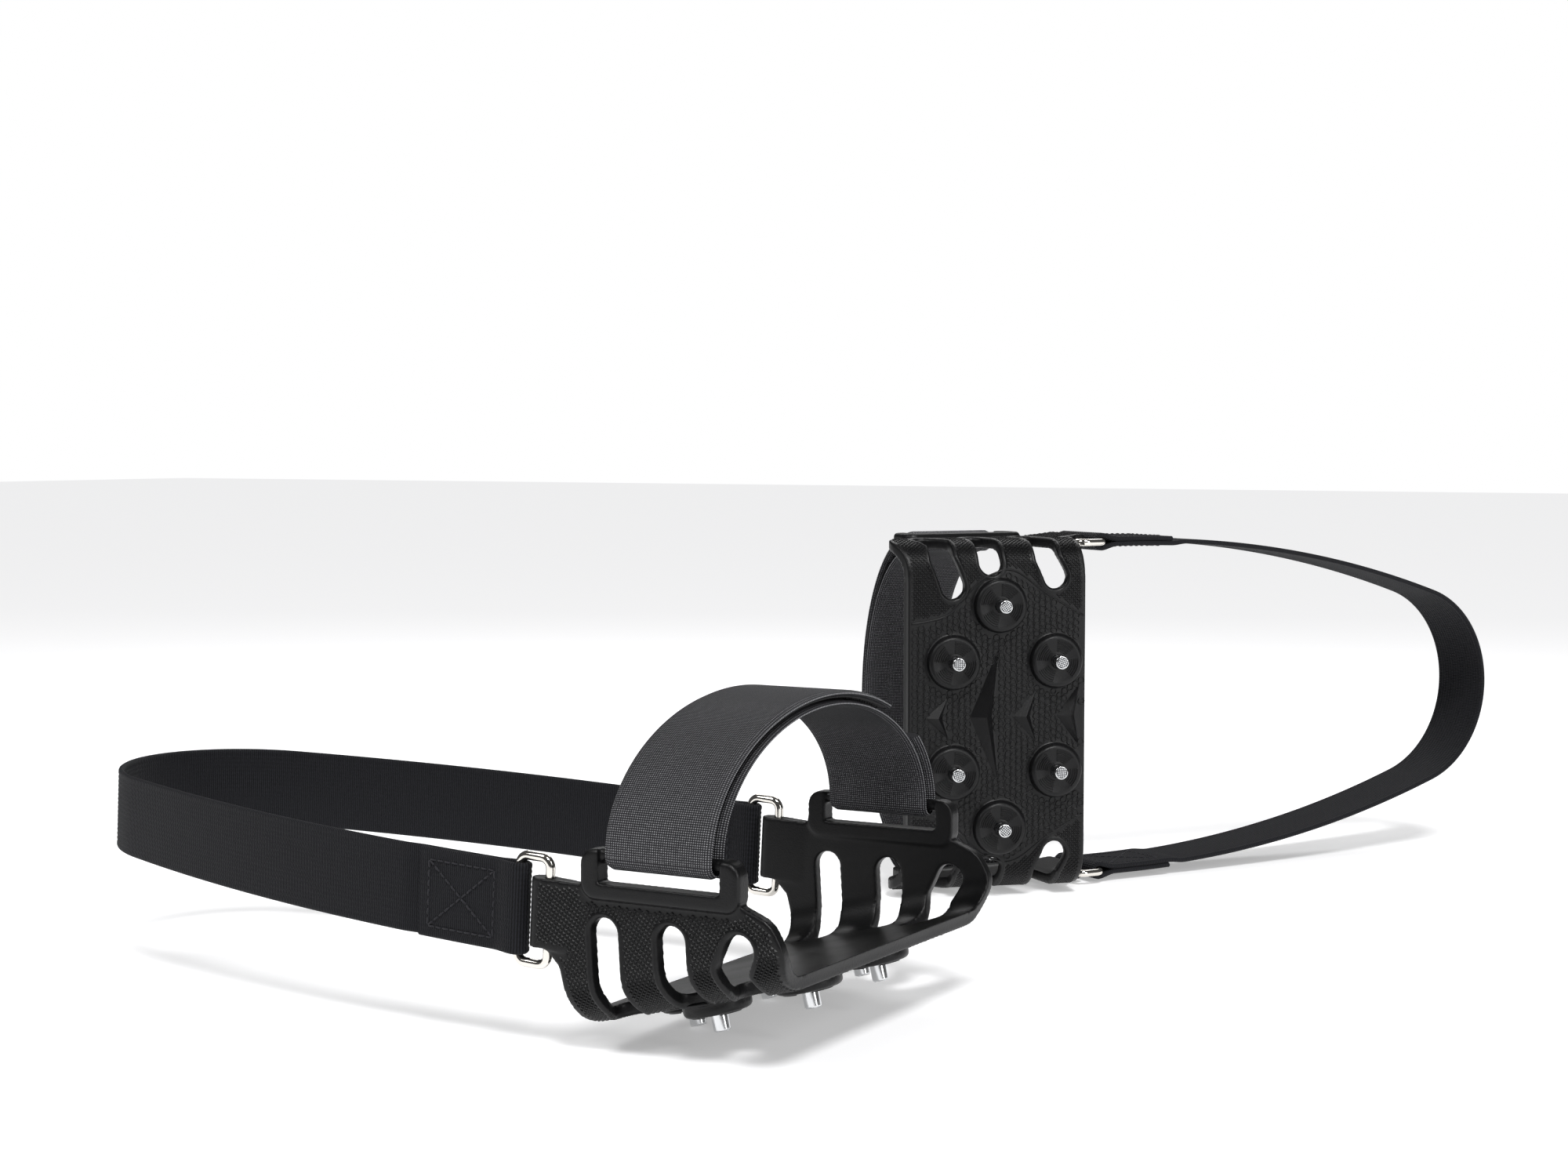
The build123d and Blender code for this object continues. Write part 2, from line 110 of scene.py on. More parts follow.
HATCH_ALONG, HATCH_ACROSS, HATCH_END, HATCH_MARGIN, HATCH_COLUMNS, HATCH_SEED = 1.5, 1.4, 92.0, 1.5, 34, 4
HATCH_LONG, HATCH_SHORT, HATCH_HEIGHT, HATCH_TOP = 0.64, 0.62, 0.3, 0.45
FAN_RADII, FAN_ANGLE, FAN_RIDGE, FAN_LIFT = (3.4, 4.1, 4.8, 5.5, 6.2, 6.9), 52.0, 0.19, 0.34
FAN_TURNS, FAN_STEPS, FAN_SIDES = (60.0, 140.0, -25.0, -110.0), 13, 8
# Inset and height of the points round a stud tip's edge, in units of TIP_EDGE.
TIP_EDGE, TIP_CURVE = 0.22, [(1.6, 0.0), (0.7, 0.3), (0.1, 1.0), (0.0, 2.0)]
# GROOVE_FLOOR and GROOVE_INSET place the disc of painted shade in the knurl's grooves: how far it stands out past
# the tip face, and its inset in units of TIP_EDGE.
GROOVE_FLOOR, GROOVE_INSET = 0.02, 1.7
KNURL_PITCH, KNURL_TURN, KNURL_HEIGHT, KNURL_SHARE, KNURL_TOP = 0.62, 17.0, 0.16, 0.4, 0.55
RING_STEPS, WIRE_SIDES = 8, 16

# ---- looks: webbing, in millimetres and degrees ----
HEEL_STEP, INSTEP_STEP, PATH_STEP, ARC_STEP, TURN_STEP = 1.3, 0.14, 0.5, 1.5, 12
EDGE_LEAST, WEBBING_SHARP, STRETCH_GAP, PROBE_STEP = 0.04, 60.0, 2.0, 0.01
SELVEDGE, ELASTIC_RIB, ELASTIC_RELIEF, ELASTIC_COURSE = 1.3, 1.28, 0.22, 0.62
SEAM_GAP, LOOP_BLEND = 0.02, 7.0
LOOP_OFFSET = RING_WIRE / 2 + HEEL_SLACK + HEEL_THICK / 2
WARP_PITCH, WARP_RIB, WARP_RELIEF, WEFT_RELIEF, INSTEP_RIB = 0.62, 2.5, 0.02, 0.045, 0.56
STITCH_PITCH, STITCH_SHARE, STITCH_RADIUS, STITCH_LEAST = 2.2, 0.42, 0.22, 0.05
STITCH_RISE, STITCH_SINK, STITCH_STEPS, STITCH_SIDES = 0.9, 0.5, 9, 8
SEAM_INSET, HEEL_SEAM_SEED, INSTEP_SEAM_SEED, HOOK_SEED = 2.5, 5, 7, 3
# Random spread of each unit's size, as a share, and of its turn, in radians.
CELL_SPREADS, HATCH_SPREADS = (0.07, 0.4), (0.04, 0.05)
STITCH_SPREADS, HOOK_SPREADS = (0.1, 0.08), (0.08, 0.3)
# Nearest and furthest length from the bar, and half width, of the heel strap's stitched box.
HEEL_SEAM = (6.5, 27.0, 8.5)
ACROSS_COUNT = {"heel_strap": 72, "instep_under": 22, "instep_over": 22, "hook_base": 4}
FOLD_INNER = BUCKLE_BAR_RADIUS + INSTEP_SLACK
ARCH_MIDDLE = (WING_MIDDLE - FOLD_INNER - INSTEP_THICK / 2, INSTEP_RISE + INSTEP_THICK / 2)
BACK_INNER = (WING_MIDDLE + FOLD_INNER, INSTEP_RISE + INSTEP_THICK + LAYER_GAP)
BACK_MIDDLE = tuple(axis + INSTEP_THICK / 2 for axis in BACK_INNER)
BACK_OUTER = tuple(axis + INSTEP_THICK for axis in BACK_INNER)
HOOK_START, HOOK_END, HOOK_WIDTH, HOOK_BASE, HOOK_PITCH, HOOK_MARGIN = 34.0, 122.0, 28.0, 0.3, 1.5, 1.0
# Radius and height of a hook's stem and head.
HOOK_PROFILE = [(0.0, -0.05), (0.13, -0.05), (0.11, 0.2), (0.27, 0.27), (0.24, 0.36), (0.0, 0.38)]
TAB_SEAMS = (HOOK_END - 3.0, HOOK_END - 6.0)
SEWN_END_SEAMS = (MEDIAL_RETURN_END + 3.0, MEDIAL_RETURN_END + 14.0)
PEEL_FROM, PEEL_TO = 6.0, 20.0

# ---- looks: colours, floor and lights, in metres and watts ----
RUBBER_COLOUR, RUBBER_LIGHT = (0.0025, 0.0025, 0.0028), (0.006, 0.006, 0.0064)
# The elastic's second colour is a painted highlight on the crests of its courses.
ELASTIC_COLOUR, ELASTIC_CREST_HIGHLIGHT = (0.0012, 0.0012, 0.0018), (0.014, 0.0145, 0.018)
WEBBING_COLOUR, WEBBING_GLINT = (0.006, 0.006, 0.008), (0.62, 0.62, 0.65)
THREAD_COLOUR, HOOK_COLOUR = (0.02, 0.02, 0.024), (0.012, 0.012, 0.013)
# The second colour on this line is painted shade, laid in the knurl's grooves.
STEEL_COLOUR, GROOVE_PAINTED_SHADE = (0.72, 0.73, 0.74), (0.06, 0.06, 0.065)
NICKEL_COLOUR, WHITE = (0.78, 0.75, 0.70), (1.0, 1.0, 1.0, 1.0)
FLOOR_COLOUR, FLOOR_HALF, FLOOR_GAP, FLOOR_GLOW = (0.86, 0.86, 0.87), 6.0, 0.0005, 0.36
SUN_POWER, SUN_SPREAD, SUN_TILT, ROOM_LIGHT = 2.2, 16.0, (-22.0, 24.0, 0.0), 0.07
LIGHT_AIM = (0.05, 0.0, 0.05)
# Each soft box: name, place, size, power.
SOFT_BOXES = [("key", (0.75, -0.35, 0.85), (0.35, 0.5), 4.0), ("side", (0.3, 0.95, 0.4), (0.25, 0.7), 3.5),
              ("back", (-0.6, -0.3, 0.7), (0.8, 0.35), 3.0)]


# ---- frames ----
def plate_matrix(side):
    """From a cleat's plate frame, in millimetres, to the row frame, in metres.

    It mirrors for the left cleat, whose outer side is its own +x too."""
    mount = next(m for m in frame["record"]["mounts"] if m["name"] == side + "_shoe_seat")
    stretch = next(j for j in frame["joints"] if j["name"] == side + "_heel_strap_stretch")
    up = Vector(mount["axis"]).normalized()
    across = up.cross(Vector(stretch["axis"])).normalized()
    toes = up.cross(across)
    outer = across if side == "right" else -across
    turn = Matrix((outer, toes, up)).transposed().to_4x4()
    return Matrix.Translation(Vector(mount["pos_m"])) @ turn @ Matrix.Scale(MM, 4)


PLATE = {side: plate_matrix(side) for side in SIDES}


def leaning(centre, lean, along, up):
    """The (y, z) of a point given along and across a line that leans to the toes by lean degrees."""
    a = radians(lean)
    return (centre[0] + along * cos(a) + up * sin(a), centre[1] + up * cos(a) - along * sin(a))


BUCKLE_BAR = leaning(BUCKLE_CENTRE, BUCKLE_LEAN, 0, BUCKLE_HEIGHT / 2 - BUCKLE_BAR_RADIUS)


# ---- scene and camera ----
def add_object(name, data):
    item = bpy.data.objects.new(name, data)
    bpy.context.scene.collection.objects.link(item)
    return item


def make_camera(plan=(0.866, 0.5), height_angle=12.0, distance=650.0, dip=3.5, lens=57.0):
    """A camera low over the outer side of the standing cleat, looking a little down past it."""
    seat = PLATE["right"].translation
    flat = Vector((*plan, 0.0)).normalized()
    rise = radians(height_angle)
    away = flat * cos(rise) + Vector((0, 0, sin(rise)))
    look = -(flat * cos(radians(dip)) + Vector((0, 0, sin(radians(dip)))))
    camera = add_object("camera", bpy.data.cameras.new("camera"))
    camera.data.lens = lens
    camera.location = seat + away * distance * MM
    camera.rotation_euler = look.to_track_quat("-Z", "Y").to_euler()
    bpy.context.scene.camera = camera


# ---- materials ----
def new_material(name, colour, roughness, metallic=0.0, sheen=0.0, shine=0.5):
    material = bpy.data.materials.new(name)
    material.use_nodes = True
    shader = material.node_tree.nodes["Principled BSDF"]
    shader.inputs["Base Color"].default_value = (*colour, 1.0)
    shader.inputs["Roughness"].default_value = roughness
    shader.inputs["Metallic"].default_value = metallic
    shader.inputs["Specular IOR Level"].default_value = shine
    shader.inputs["Sheen Weight"].default_value = sheen
    return material, material.node_tree, shader


def noise(tree, scale, detail=3.0, vector=None):
    """A noise texture in the row frame, or over another vector."""
    if vector is None:
        vector = tree.nodes.new("ShaderNodeTexCoord").outputs["Object"]
    node = tree.nodes.new("ShaderNodeTexNoise")
    node.inputs["Scale"].default_value = scale
    node.inputs["Detail"].default_value = detail
    tree.links.new(vector, node.inputs["Vector"])
    return node.outputs["Fac"]


def span(tree, value, low, high):
    """The value, from 0 to 1, spread between low and high."""
    node = tree.nodes.new("ShaderNodeMapRange")
    node.inputs["To Min"].default_value = low
    node.inputs["To Max"].default_value = high
    tree.links.new(value, node.inputs["Value"])
    return node.outputs["Result"]


def mix_colours(tree, value, dark, light):
    node = tree.nodes.new("ShaderNodeMix")
    node.data_type = "RGBA"
    node.inputs["A"].default_value = (*dark, 1.0)
    node.inputs["B"].default_value = (*light, 1.0)
    tree.links.new(value, node.inputs["Factor"])
    return node.outputs["Result"]


def calculate(tree, operation, first, second=None):
    """A maths node on one or two values; a value is a socket or a number."""
    node = tree.nodes.new("ShaderNodeMath")
    node.operation = operation
    for value, socket in zip((first, second), node.inputs):
        if isinstance(value, bpy.types.NodeSocket):
            tree.links.new(value, socket)
        elif value is not None:
            socket.default_value = value
    return node.outputs[0]


def bump(tree, shader, height, distance):
    node = tree.nodes.new("ShaderNodeBump")
    node.inputs["Distance"].default_value = distance
    tree.links.new(height, node.inputs["Height"])
    tree.links.new(node.outputs["Normal"], shader.inputs["Normal"])


def webbing_axes(tree):
    """Millimetres along and across a strap, from the attribute that its mesh carries."""
    attribute = tree.nodes.new("ShaderNodeAttribute")
    attribute.attribute_name = "weave"
    split = tree.nodes.new("ShaderNodeSeparateXYZ")
    tree.links.new(attribute.outputs["Vector"], split.inputs["Vector"])
    return split.outputs["X"], split.outputs["Y"], attribute.outputs["Vector"]


def rubber_material():
    material, tree, shader = new_material("moulded_rubber", RUBBER_COLOUR, roughness=0.4, shine=0.24)
    patches = noise(tree, scale=60.0, detail=4.0)
    grain = noise(tree, scale=2600.0, detail=2.0)
    tree.links.new(span(tree, patches, low=0.3, high=0.46), shader.inputs["Roughness"])
    lighter = mix_colours(tree, patches, RUBBER_COLOUR, RUBBER_LIGHT)
    tree.links.new(lighter, shader.inputs["Base Color"])
    bump(tree, shader, grain, distance=0.00006)
    return material


def steel_material(name, colour, low, high, scale):
    """Bright metal whose polish varies a little."""
    material, tree, shader = new_material(name, colour, low, metallic=1.0)
    tree.links.new(span(tree, noise(tree, scale), low, high), shader.inputs["Roughness"])
    return material


def rib_wave(tree, value, pitch):
    """A wave from 0 to 1 that repeats every pitch millimetres."""
    wave = calculate(tree, "SINE", calculate(tree, "MULTIPLY", value, 2 * pi / pitch))
    return calculate(tree, "MULTIPLY_ADD", wave, 0.5)


def elastic_material():
    """Black knitted elastic: fine courses across its ribs, with a soft sheen; each course's crest is painted
    lighter and its trough darker, a painted highlight and shade that follow its bump.
    """
    material, tree, shader = new_material("heel_elastic", ELASTIC_COLOUR, 0.75, sheen=0.04, shine=0.18)
    shader.inputs["Sheen Roughness"].default_value = 0.4
    along, _, both = webbing_axes(tree)
    courses = rib_wave(tree, along, ELASTIC_COURSE)
    fibres = noise(tree, scale=3.0, vector=both)
    # Painted highlight and shade: the courses' crests lighter and their troughs darker, in step with the bump.
    tree.links.new(mix_colours(tree, courses, ELASTIC_COLOUR, ELASTIC_CREST_HIGHLIGHT), shader.inputs["Base Color"])
    bump(tree, shader, calculate(tree, "ADD", courses, fibres), distance=0.00012)
    return material


def webbing_material():
    """Black woven webbing: fine warp yarns over its cross ribs, with grey glints on the yarns."""
    material, tree, shader = new_material("instep_webbing", WEBBING_COLOUR, 0.65, sheen=0.06, shine=0.3)
    shader.inputs["Sheen Roughness"].default_value = 0.35
    along, across, both = webbing_axes(tree)
    warp = rib_wave(tree, across, WARP_PITCH)
    weft = rib_wave(tree, along, INSTEP_RIB)
    yarns = calculate(tree, "MULTIPLY", warp, weft)
    crests = calculate(tree, "POWER", yarns, 1.6)
    glint = calculate(tree, "MULTIPLY", crests, noise(tree, scale=2.0, detail=2.0, vector=both))
    tree.links.new(mix_colours(tree, glint, WEBBING_COLOUR, WEBBING_GLINT), shader.inputs["Base Color"])
    bump(tree, shader, yarns, distance=0.00015)
    return material


def plain_fabric(name, colour, scale):
    material, tree, shader = new_material(name, colour, roughness=0.8, sheen=0.1, shine=0.2)
    bump(tree, shader, noise(tree, scale), distance=0.0002)
    return material


# ---- meshes in the plate frame ----
def bmesh_of(mesh):
    work = bmesh.new()
    work.from_mesh(mesh)
    return work


def faces_inward(mesh):
    """Whether the mesh encloses less than nothing, so that it needs turning inside out."""
    work = bmesh_of(mesh)
    volume = work.calc_volume(signed=True)
    work.free()
    return volume < 0


def vertices(mesh):
    """Every vertex of a mesh, as rows."""
    flat = np.empty(len(mesh.vertices) * 3, np.float32)
    mesh.vertices.foreach_get("co", flat)
    return flat.reshape(-1, 3).astype(float)


def put_vertices(mesh, points):
    mesh.vertices.foreach_set("co", np.asarray(points, np.float32).ravel())
    mesh.update()


def turns(count):
    """Angles evenly round a full turn."""
    return np.linspace(0, 2 * pi, count, endpoint=False)


def build_mesh(name, points, faces, weave=None):
    """A closed mesh that faces outward. weave is millimetres along, across and out, per point."""
    mesh = bpy.data.meshes.new(name)
    mesh.from_pydata([tuple(p) for p in points], [], [tuple(f) for f in faces])
    if weave is not None:
        layer = mesh.attributes.new("weave", "FLOAT_VECTOR", "POINT")
        layer.data.foreach_set("vector", np.asarray(weave, np.float32).ravel())
    mesh.update()
    if faces_inward(mesh):
        mesh.flip_normals()
    return mesh


def skin(name, rings, closed_path=False, weave=None):
    """A tube skinned over rings of points: an array of stations, points round each, and x, y, z."""
    rings = np.asarray(rings, float)
    count, around = rings.shape[:2]
    faces = []
    for i in range(count if closed_path else count - 1):
        here, there = i * around, (i + 1) % count * around
        for k in range(around):
            after = (k + 1) % around
            faces.append((here + k, here + after, there + after, there + k))
    points = rings.reshape(-1, 3)
    if not closed_path:
        faces.append(range(around - 1, -1, -1))
        faces.append(range((count - 1) * around, count * around))
    if weave is not None:
        weave = np.asarray(weave, float).reshape(-1, 3)
    return build_mesh(name, points, faces, weave)


def lathe(name, profile, around=48):
    """A turned solid about z, from (radius, z) points; its first and last points are on the axis."""
    inner = profile[1:-1]
    points = [(r * cos(a), r * sin(a), z) for r, z in inner for a in turns(around)]
    faces = []
    for here in range(0, (len(inner) - 1) * around, around):
        for k in range(around):
            after = (k + 1) % around
            faces.append((here + k, here + after, here + around + after, here + around + k))
    last = (len(inner) - 1) * around
    points += [(0, 0, profile[0][1]), (0, 0, profile[-1][1])]
    for k in range(around):
        after = (k + 1) % around
        faces.append((len(points) - 2, after, k))
        faces.append((len(points) - 1, last + k, last + after))
    return build_mesh(name, points, faces)


def joined(name, meshes):
    """One mesh from several."""
    whole = bmesh.new()
    for mesh in meshes:
        whole.from_mesh(mesh)
    result = bpy.data.meshes.new(name)
    whole.to_mesh(result)
    whole.free()
    return result


def moved(mesh, matrix):
    copy = mesh.copy()
    copy.transform(matrix)
    return copy


def evaluated(holder):
    """The holder's mesh as its modifiers leave it; the holder goes."""
    graph = bpy.context.evaluated_depsgraph_get()
    result = bpy.data.meshes.new_from_object(holder.evaluated_get(graph))
    bpy.data.objects.remove(holder)
    return result


def shade_by_angle(mesh, degrees_limit=40.0):
    mesh.shade_smooth()
    mesh.set_sharp_from_angle(angle=radians(degrees_limit))


def place(name, mesh, material, body, replaces=()):
    """Puts a mesh drawn in the plate frame on each cleat.

    body is its name without the side, or two such names and two places, in which case the piece rides on no body
    and these are not used."""
    for side in SIDES:
        copy = moved(mesh, PLATE[side])
        if PLATE[side].determinant() < 0:
            copy.flip_normals()
        copy.materials.clear()
        copy.materials.append(material)
        piece = add_object(f"{side}_{name}", copy)
        if isinstance(body, str):
            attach(piece, f"{side}_{body}")
        else:
            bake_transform(piece)
        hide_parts(*[f"{side}_{node}" for node in replaces])


# ---- what repeats ----
def scatter_tree():
    """Puts a unit on every point, turned by the point's own facing and along directions."""
    tree = bpy.data.node_groups.new("scatter_units", "GeometryNodeTree")
    tree.interface.new_socket("Geometry", in_out="OUTPUT", socket_type="NodeSocketGeometry")
    for name, kind in (("Geometry", "Geometry"), ("Unit", "Object"), ("Size spread", "Float"),
                       ("Turn spread", "Float"), ("Seed", "Int"), ("Material", "Material")):
        tree.interface.new_socket(name, in_out="INPUT", socket_type="NodeSocket" + kind)

    def node(kind, *values, **settings):
        """A new node's outputs. Each value is an input's name or number with a socket or a constant."""
        made = tree.nodes.new(kind)
        for key, setting in settings.items():
            setattr(made, key, setting)
        for key, value in values:
            if isinstance(value, bpy.types.NodeSocket):
                tree.links.new(value, made.inputs[key])
            else:
                made.inputs[key].default_value = value
        return made.outputs

    def carried(name):
        return node("GeometryNodeInputNamedAttribute", ("Name", name), data_type="FLOAT_VECTOR")["Attribute"]

    def spread(middle, width):
        """A random number for each point, up to width either side of the middle."""
        low = node("ShaderNodeMath", (0, middle), (1, width), operation="SUBTRACT")[0]
        high = node("ShaderNodeMath", (0, middle), (1, width), operation="ADD")[0]
        return node("FunctionNodeRandomValue", (2, low), (3, high), ("Seed", group["Seed"]))[1]

    group = node("NodeGroupInput")
    unit = node("GeometryNodeObjectInfo", ("Object", group["Unit"]))["Geometry"]
    face = node("FunctionNodeAlignRotationToVector", ("Vector", carried("facing")), axis="Z")["Rotation"]
    aim = node("FunctionNodeAlignRotationToVector", ("Rotation", face), ("Vector", carried("along")),
               axis="X", pivot_axis="Z")["Rotation"]
    spin = node("FunctionNodeAxisAngleToRotation", ("Angle", spread(0.0, group["Turn spread"])))["Rotation"]
    turn = node("FunctionNodeRotateRotation", ("Rotation", aim), ("Rotate By", spin),
                rotation_space="LOCAL")["Rotation"]
    size = node("ShaderNodeVectorMath", (0, carried("scale")), ("Scale", spread(1.0, group["Size spread"])),
                operation="SCALE")["Vector"]
    put = node("GeometryNodeInstanceOnPoints", ("Points", group["Geometry"]), ("Instance", unit),
               ("Rotation", turn), ("Scale", size))["Instances"]
    real = node("GeometryNodeRealizeInstances", ("Geometry", put))["Geometry"]
    paint = node("GeometryNodeSetMaterial", ("Geometry", real), ("Material", group["Material"]))["Geometry"]
    node("NodeGroupOutput", ("Geometry", paint))
    return tree


SCATTER = scatter_tree()


def scatter(name, spots, unit, material, size_spread=0.0, turn_spread=0.0, seed=1):
    """A plain mesh of units, one on each spot. A spot is (place, facing, along, size in x, y, z)."""
    mesh = bpy.data.meshes.new(name + "_points")
    mesh.from_pydata([tuple(spot[0]) for spot in spots], [], [])
    for key, column in (("facing", 1), ("along", 2), ("scale", 3)):
        layer = mesh.attributes.new(key, "FLOAT_VECTOR", "POINT")
        layer.data.foreach_set("vector", np.array([tuple(s[column]) for s in spots], np.float32).ravel())
    holder = add_object(name + "_points", mesh)
    unit_holder = add_object(name + "_unit", unit)
    modifier = holder.modifiers.new("scatter", "NODES")
    modifier.node_group = SCATTER
    values = {"Unit": unit_holder, "Size spread": size_spread, "Turn spread": turn_spread,
              "Seed": seed, "Material": material}
    for socket in SCATTER.interface.items_tree:
        if socket.in_out == "INPUT" and socket.name in values:
            modifier[socket.identifier] = values[socket.name]
    result = evaluated(holder)
    bpy.data.objects.remove(unit_holder)
    result.name = name
    return result


# ---- the moulding ----
def plate_copy(node):
    """A CAD node of the standing cleat as a welded mesh in the plate frame."""
    mesh = bpy.data.meshes.new(node + "_copy")
    work = bmesh_of(frame["nodes"][node].data)
    bmesh.ops.transform(work, matrix=PLATE["right"].inverted(), verts=work.verts)
    bmesh.ops.remove_doubles(work, verts=work.verts, dist=WELD)
    bmesh.ops.triangulate(work, faces=work.faces)
    work.to_mesh(mesh)
    work.free()
    return mesh


def remeshed(mesh):
    """An even, lightly softened mesh of the same shape."""
    holder = add_object("holder", mesh)
    remesh = holder.modifiers.new("remesh", "REMESH")
    remesh.mode = "VOXEL"
    remesh.voxel_size = VOXEL
    soften = holder.modifiers.new("soften", "SMOOTH")
    soften.factor = SMOOTH_FACTOR
    soften.iterations = SMOOTH_TURNS
    thin_out = holder.modifiers.new("thin_out", "DECIMATE")
    thin_out.ratio = KEPT_SHARE
    return evaluated(holder)


def hump(distance, width):
    """A smooth ridge profile, 1 in the middle of the width and 0 at both ends."""
    return np.sin(pi * np.clip(distance / width, 0, 1)) ** 2


def segment_distance(a, b, start, end):
    """Distance of the points (a, b) from a segment."""
    (ax, ay), (bx, by) = start, end
    run, rise = bx - ax, by - ay
    t = np.clip(((a - ax) * run + (b - ay) * rise) / (run * run + rise * rise), 0, 1)
    return np.hypot(a - ax - t * run, b - ay - t * rise)


def slot_distance(x, y, z):
    """Distance from the nearest slot's edge, below zero inside it."""
    nearest = np.full(len(x), FAR)
    bend_x, bend_z = HALF_WIDTH - BEND_RADIUS / 2, BEND_RADIUS / 3
    for (x_in, y_in), y_turn, (y_top, z_top) in zip(SLOT_INNER, SLOT_TURN_Y, SLOT_TOP):
        inner = segment_distance(x, y, (x_in, y_in), (bend_x, y_turn))
        outer = segment_distance(x, y, (bend_x, y_turn), (HALF_WIDTH + SLOT_WIDTH, y_turn))
        under = np.minimum(inner, outer)
        upright = segment_distance(y, z, (y_turn, bend_z), (y_top, z_top))
        upright = np.minimum(upright, segment_distance(y, z, (y_turn, -WALL / 2), (y_turn, bend_z)))
        upright = np.where(x > bend_x, upright, FAR)
        under = np.where(z < bend_z, under, FAR)
        nearest = np.minimum(nearest, np.minimum(under, upright) - SLOT_WIDTH / 2)
    return nearest


def moulded(points):
    """The moulding's points with its slot rims raised, its bosses dished and their hubs standing out."""
    points = points.copy()
    x, y, z = np.abs(points[:, 0]), points[:, 1], points[:, 2]
    bend_x, bend_z = HALF_WIDTH - BEND_RADIUS, BEND_RADIUS - WALL
    radius = np.hypot(x - bend_x, z - bend_z)
    in_bend = (x > bend_x) & (z < bend_z)
    depth = np.where(in_bend, BEND_RADIUS - radius, np.where(z < bend_z, z + WALL, HALF_WIDTH - x))
    outer = np.abs(depth) < SKIN_DEPTH
    normal = np.zeros_like(points)
    normal[:, 0] = np.where(in_bend, (x - bend_x) / radius, np.where(z < bend_z, 0.0, 1.0))
    normal[:, 2] = np.where(in_bend, (z - bend_z) / radius, np.where(z < bend_z, -1.0, 0.0))
    normal[:, 0] *= np.sign(points[:, 0])
    lift = RIM_HEIGHT * hump(slot_distance(x, y, z), RIM_WIDTH)
    points += normal * np.where(outer, lift, 0.0)[:, None]
    for cx, cy in STUD_PLACES:
        away = np.hypot(points[:, 0] - cx, y - cy)
        on_face = (np.abs(z - BOSS_FACE) < SKIN_DEPTH * 2) & (away < BOSS_RADIUS)
        points[:, 2] += np.where(on_face, dish(away), 0.0)
    return points


def dish(away):
    """How far a boss's face is sunk, at a distance from the stud; its hub stands back out."""
    sunk = DISH_DEPTH * (1 - np.clip(away / DISH_RADIUS, 0, 1) ** 4)
    hub = (DISH_DEPTH + HUB_HEIGHT) * (1 - np.clip((away - PIN_RADIUS) / HUB_SLOPE, 0, 1))
    return sunk - hub


def tread_mesh():
    mesh = remeshed(plate_copy("right_tread_plate"))
    put_vertices(mesh, moulded(vertices(mesh)))
    mesh.shade_smooth()
    return mesh


def outer_skin(sign, s, y):
    """A place on the moulding's outer face and its normal, s mm from the middle round the bend."""
    flat_end = HALF_WIDTH - BEND_RADIUS
    arc = BEND_RADIUS * pi / 2
    if s <= flat_end:
        return Vector((sign * s, y, -WALL)), Vector((0, 0, -1))
    if s < flat_end + arc:
        a = (s - flat_end) / BEND_RADIUS
        normal = Vector((sign * sin(a), 0, -cos(a)))
        centre = Vector((sign * flat_end, y, BEND_RADIUS - WALL))
        return centre + normal * BEND_RADIUS, normal
    return Vector((sign * HALF_WIDTH, y, BEND_RADIUS - WALL + s - flat_end - arc)), Vector((sign, 0, 0))


def surface_spot(tree, sign, s, y, margin, tolerance):
    """The moulding's own surface there, or None near an edge, a slot or a raised feature."""
    hits = []
    for ds, dy in ((0, 0), (margin, 0), (-margin, 0), (0, margin), (0, -margin)):
        point, normal = outer_skin(sign, s + ds, y + dy)
        hit, facing, _, distance = tree.ray_cast(point + normal * PROBE, -normal, 2 * PROBE)
        if hit is None or facing.dot(normal) < FACING_LIMIT or abs(distance - PROBE) > tolerance:
            return None
        hits.append((hit, facing, distance))
    distances = [hit[2] for hit in hits]
    if max(distances) - min(distances) > EVEN_LIMIT:
        return None
    return hits[0][0], hits[0][1]


def on_buckle(y, z):
    """Whether a place on a wing is on the buckle's smooth frame or beside it."""
    dy, dz, a = y - BUCKLE_CENTRE[0], z - BUCKLE_CENTRE[1], radians(BUCKLE_LEAN)
    along, up = dy * cos(a) - dz * sin(a), dy * sin(a) + dz * cos(a)
    return abs(along) < BUCKLE_LENGTH / 2 + BUCKLE_BORDER and abs(up) < BUCKLE_HEIGHT / 2 + BUCKLE_BORDER


def smooth_border():
    """The wavy border between the cellular sole zone and the hatched wings, as (x, y) points."""
    ends = [BORDER[0], *BORDER, BORDER[-1]]
    points = []
    for a, b, c, d in zip(ends, ends[1:], ends[2:], ends[3:]):
        a, b, c, d = (np.array(p, float) for p in (a, b, c, d))
        for t in np.linspace(0, 1, BORDER_STEPS, endpoint=False):
            points.append(0.5 * (2 * b + (c - a) * t + (2 * a - 5 * b + 4 * c - d) * t ** 2
                                 + (3 * b - a - 3 * c + d) * t ** 3))
    return np.array(points + [np.array(BORDER[-1], float)])


BORDER_LINE = smooth_border()


def border_at(y):
    """The border's distance from the middle line at y."""
    line = BORDER_LINE[::-1]
    return float(np.interp(y, line[:, 1], line[:, 0]))


def border_mesh(tree):
    """A thin raised line along the border, on both halves of the plate, up to its two edges."""
    lines = []
    for sign in (1, -1):
        stations = []
        for x, y in BORDER_LINE:
            if not surface_spot(tree, sign, x, y, BEAD_RADIUS, FLAT_LIMIT):
                continue
            middle, normal = outer_skin(sign, x, y)
            across = Vector((normal.z, 0, -normal.x))
            spokes = [normal * cos(a) + across * sin(a) for a in turns(BEAD_SIDES)]
            stations.append([middle + spoke * BEAD_RADIUS for spoke in spokes])
        lines.append(skin("border", stations))
    mesh = joined("border", lines)
    mesh.shade_smooth()
    return mesh


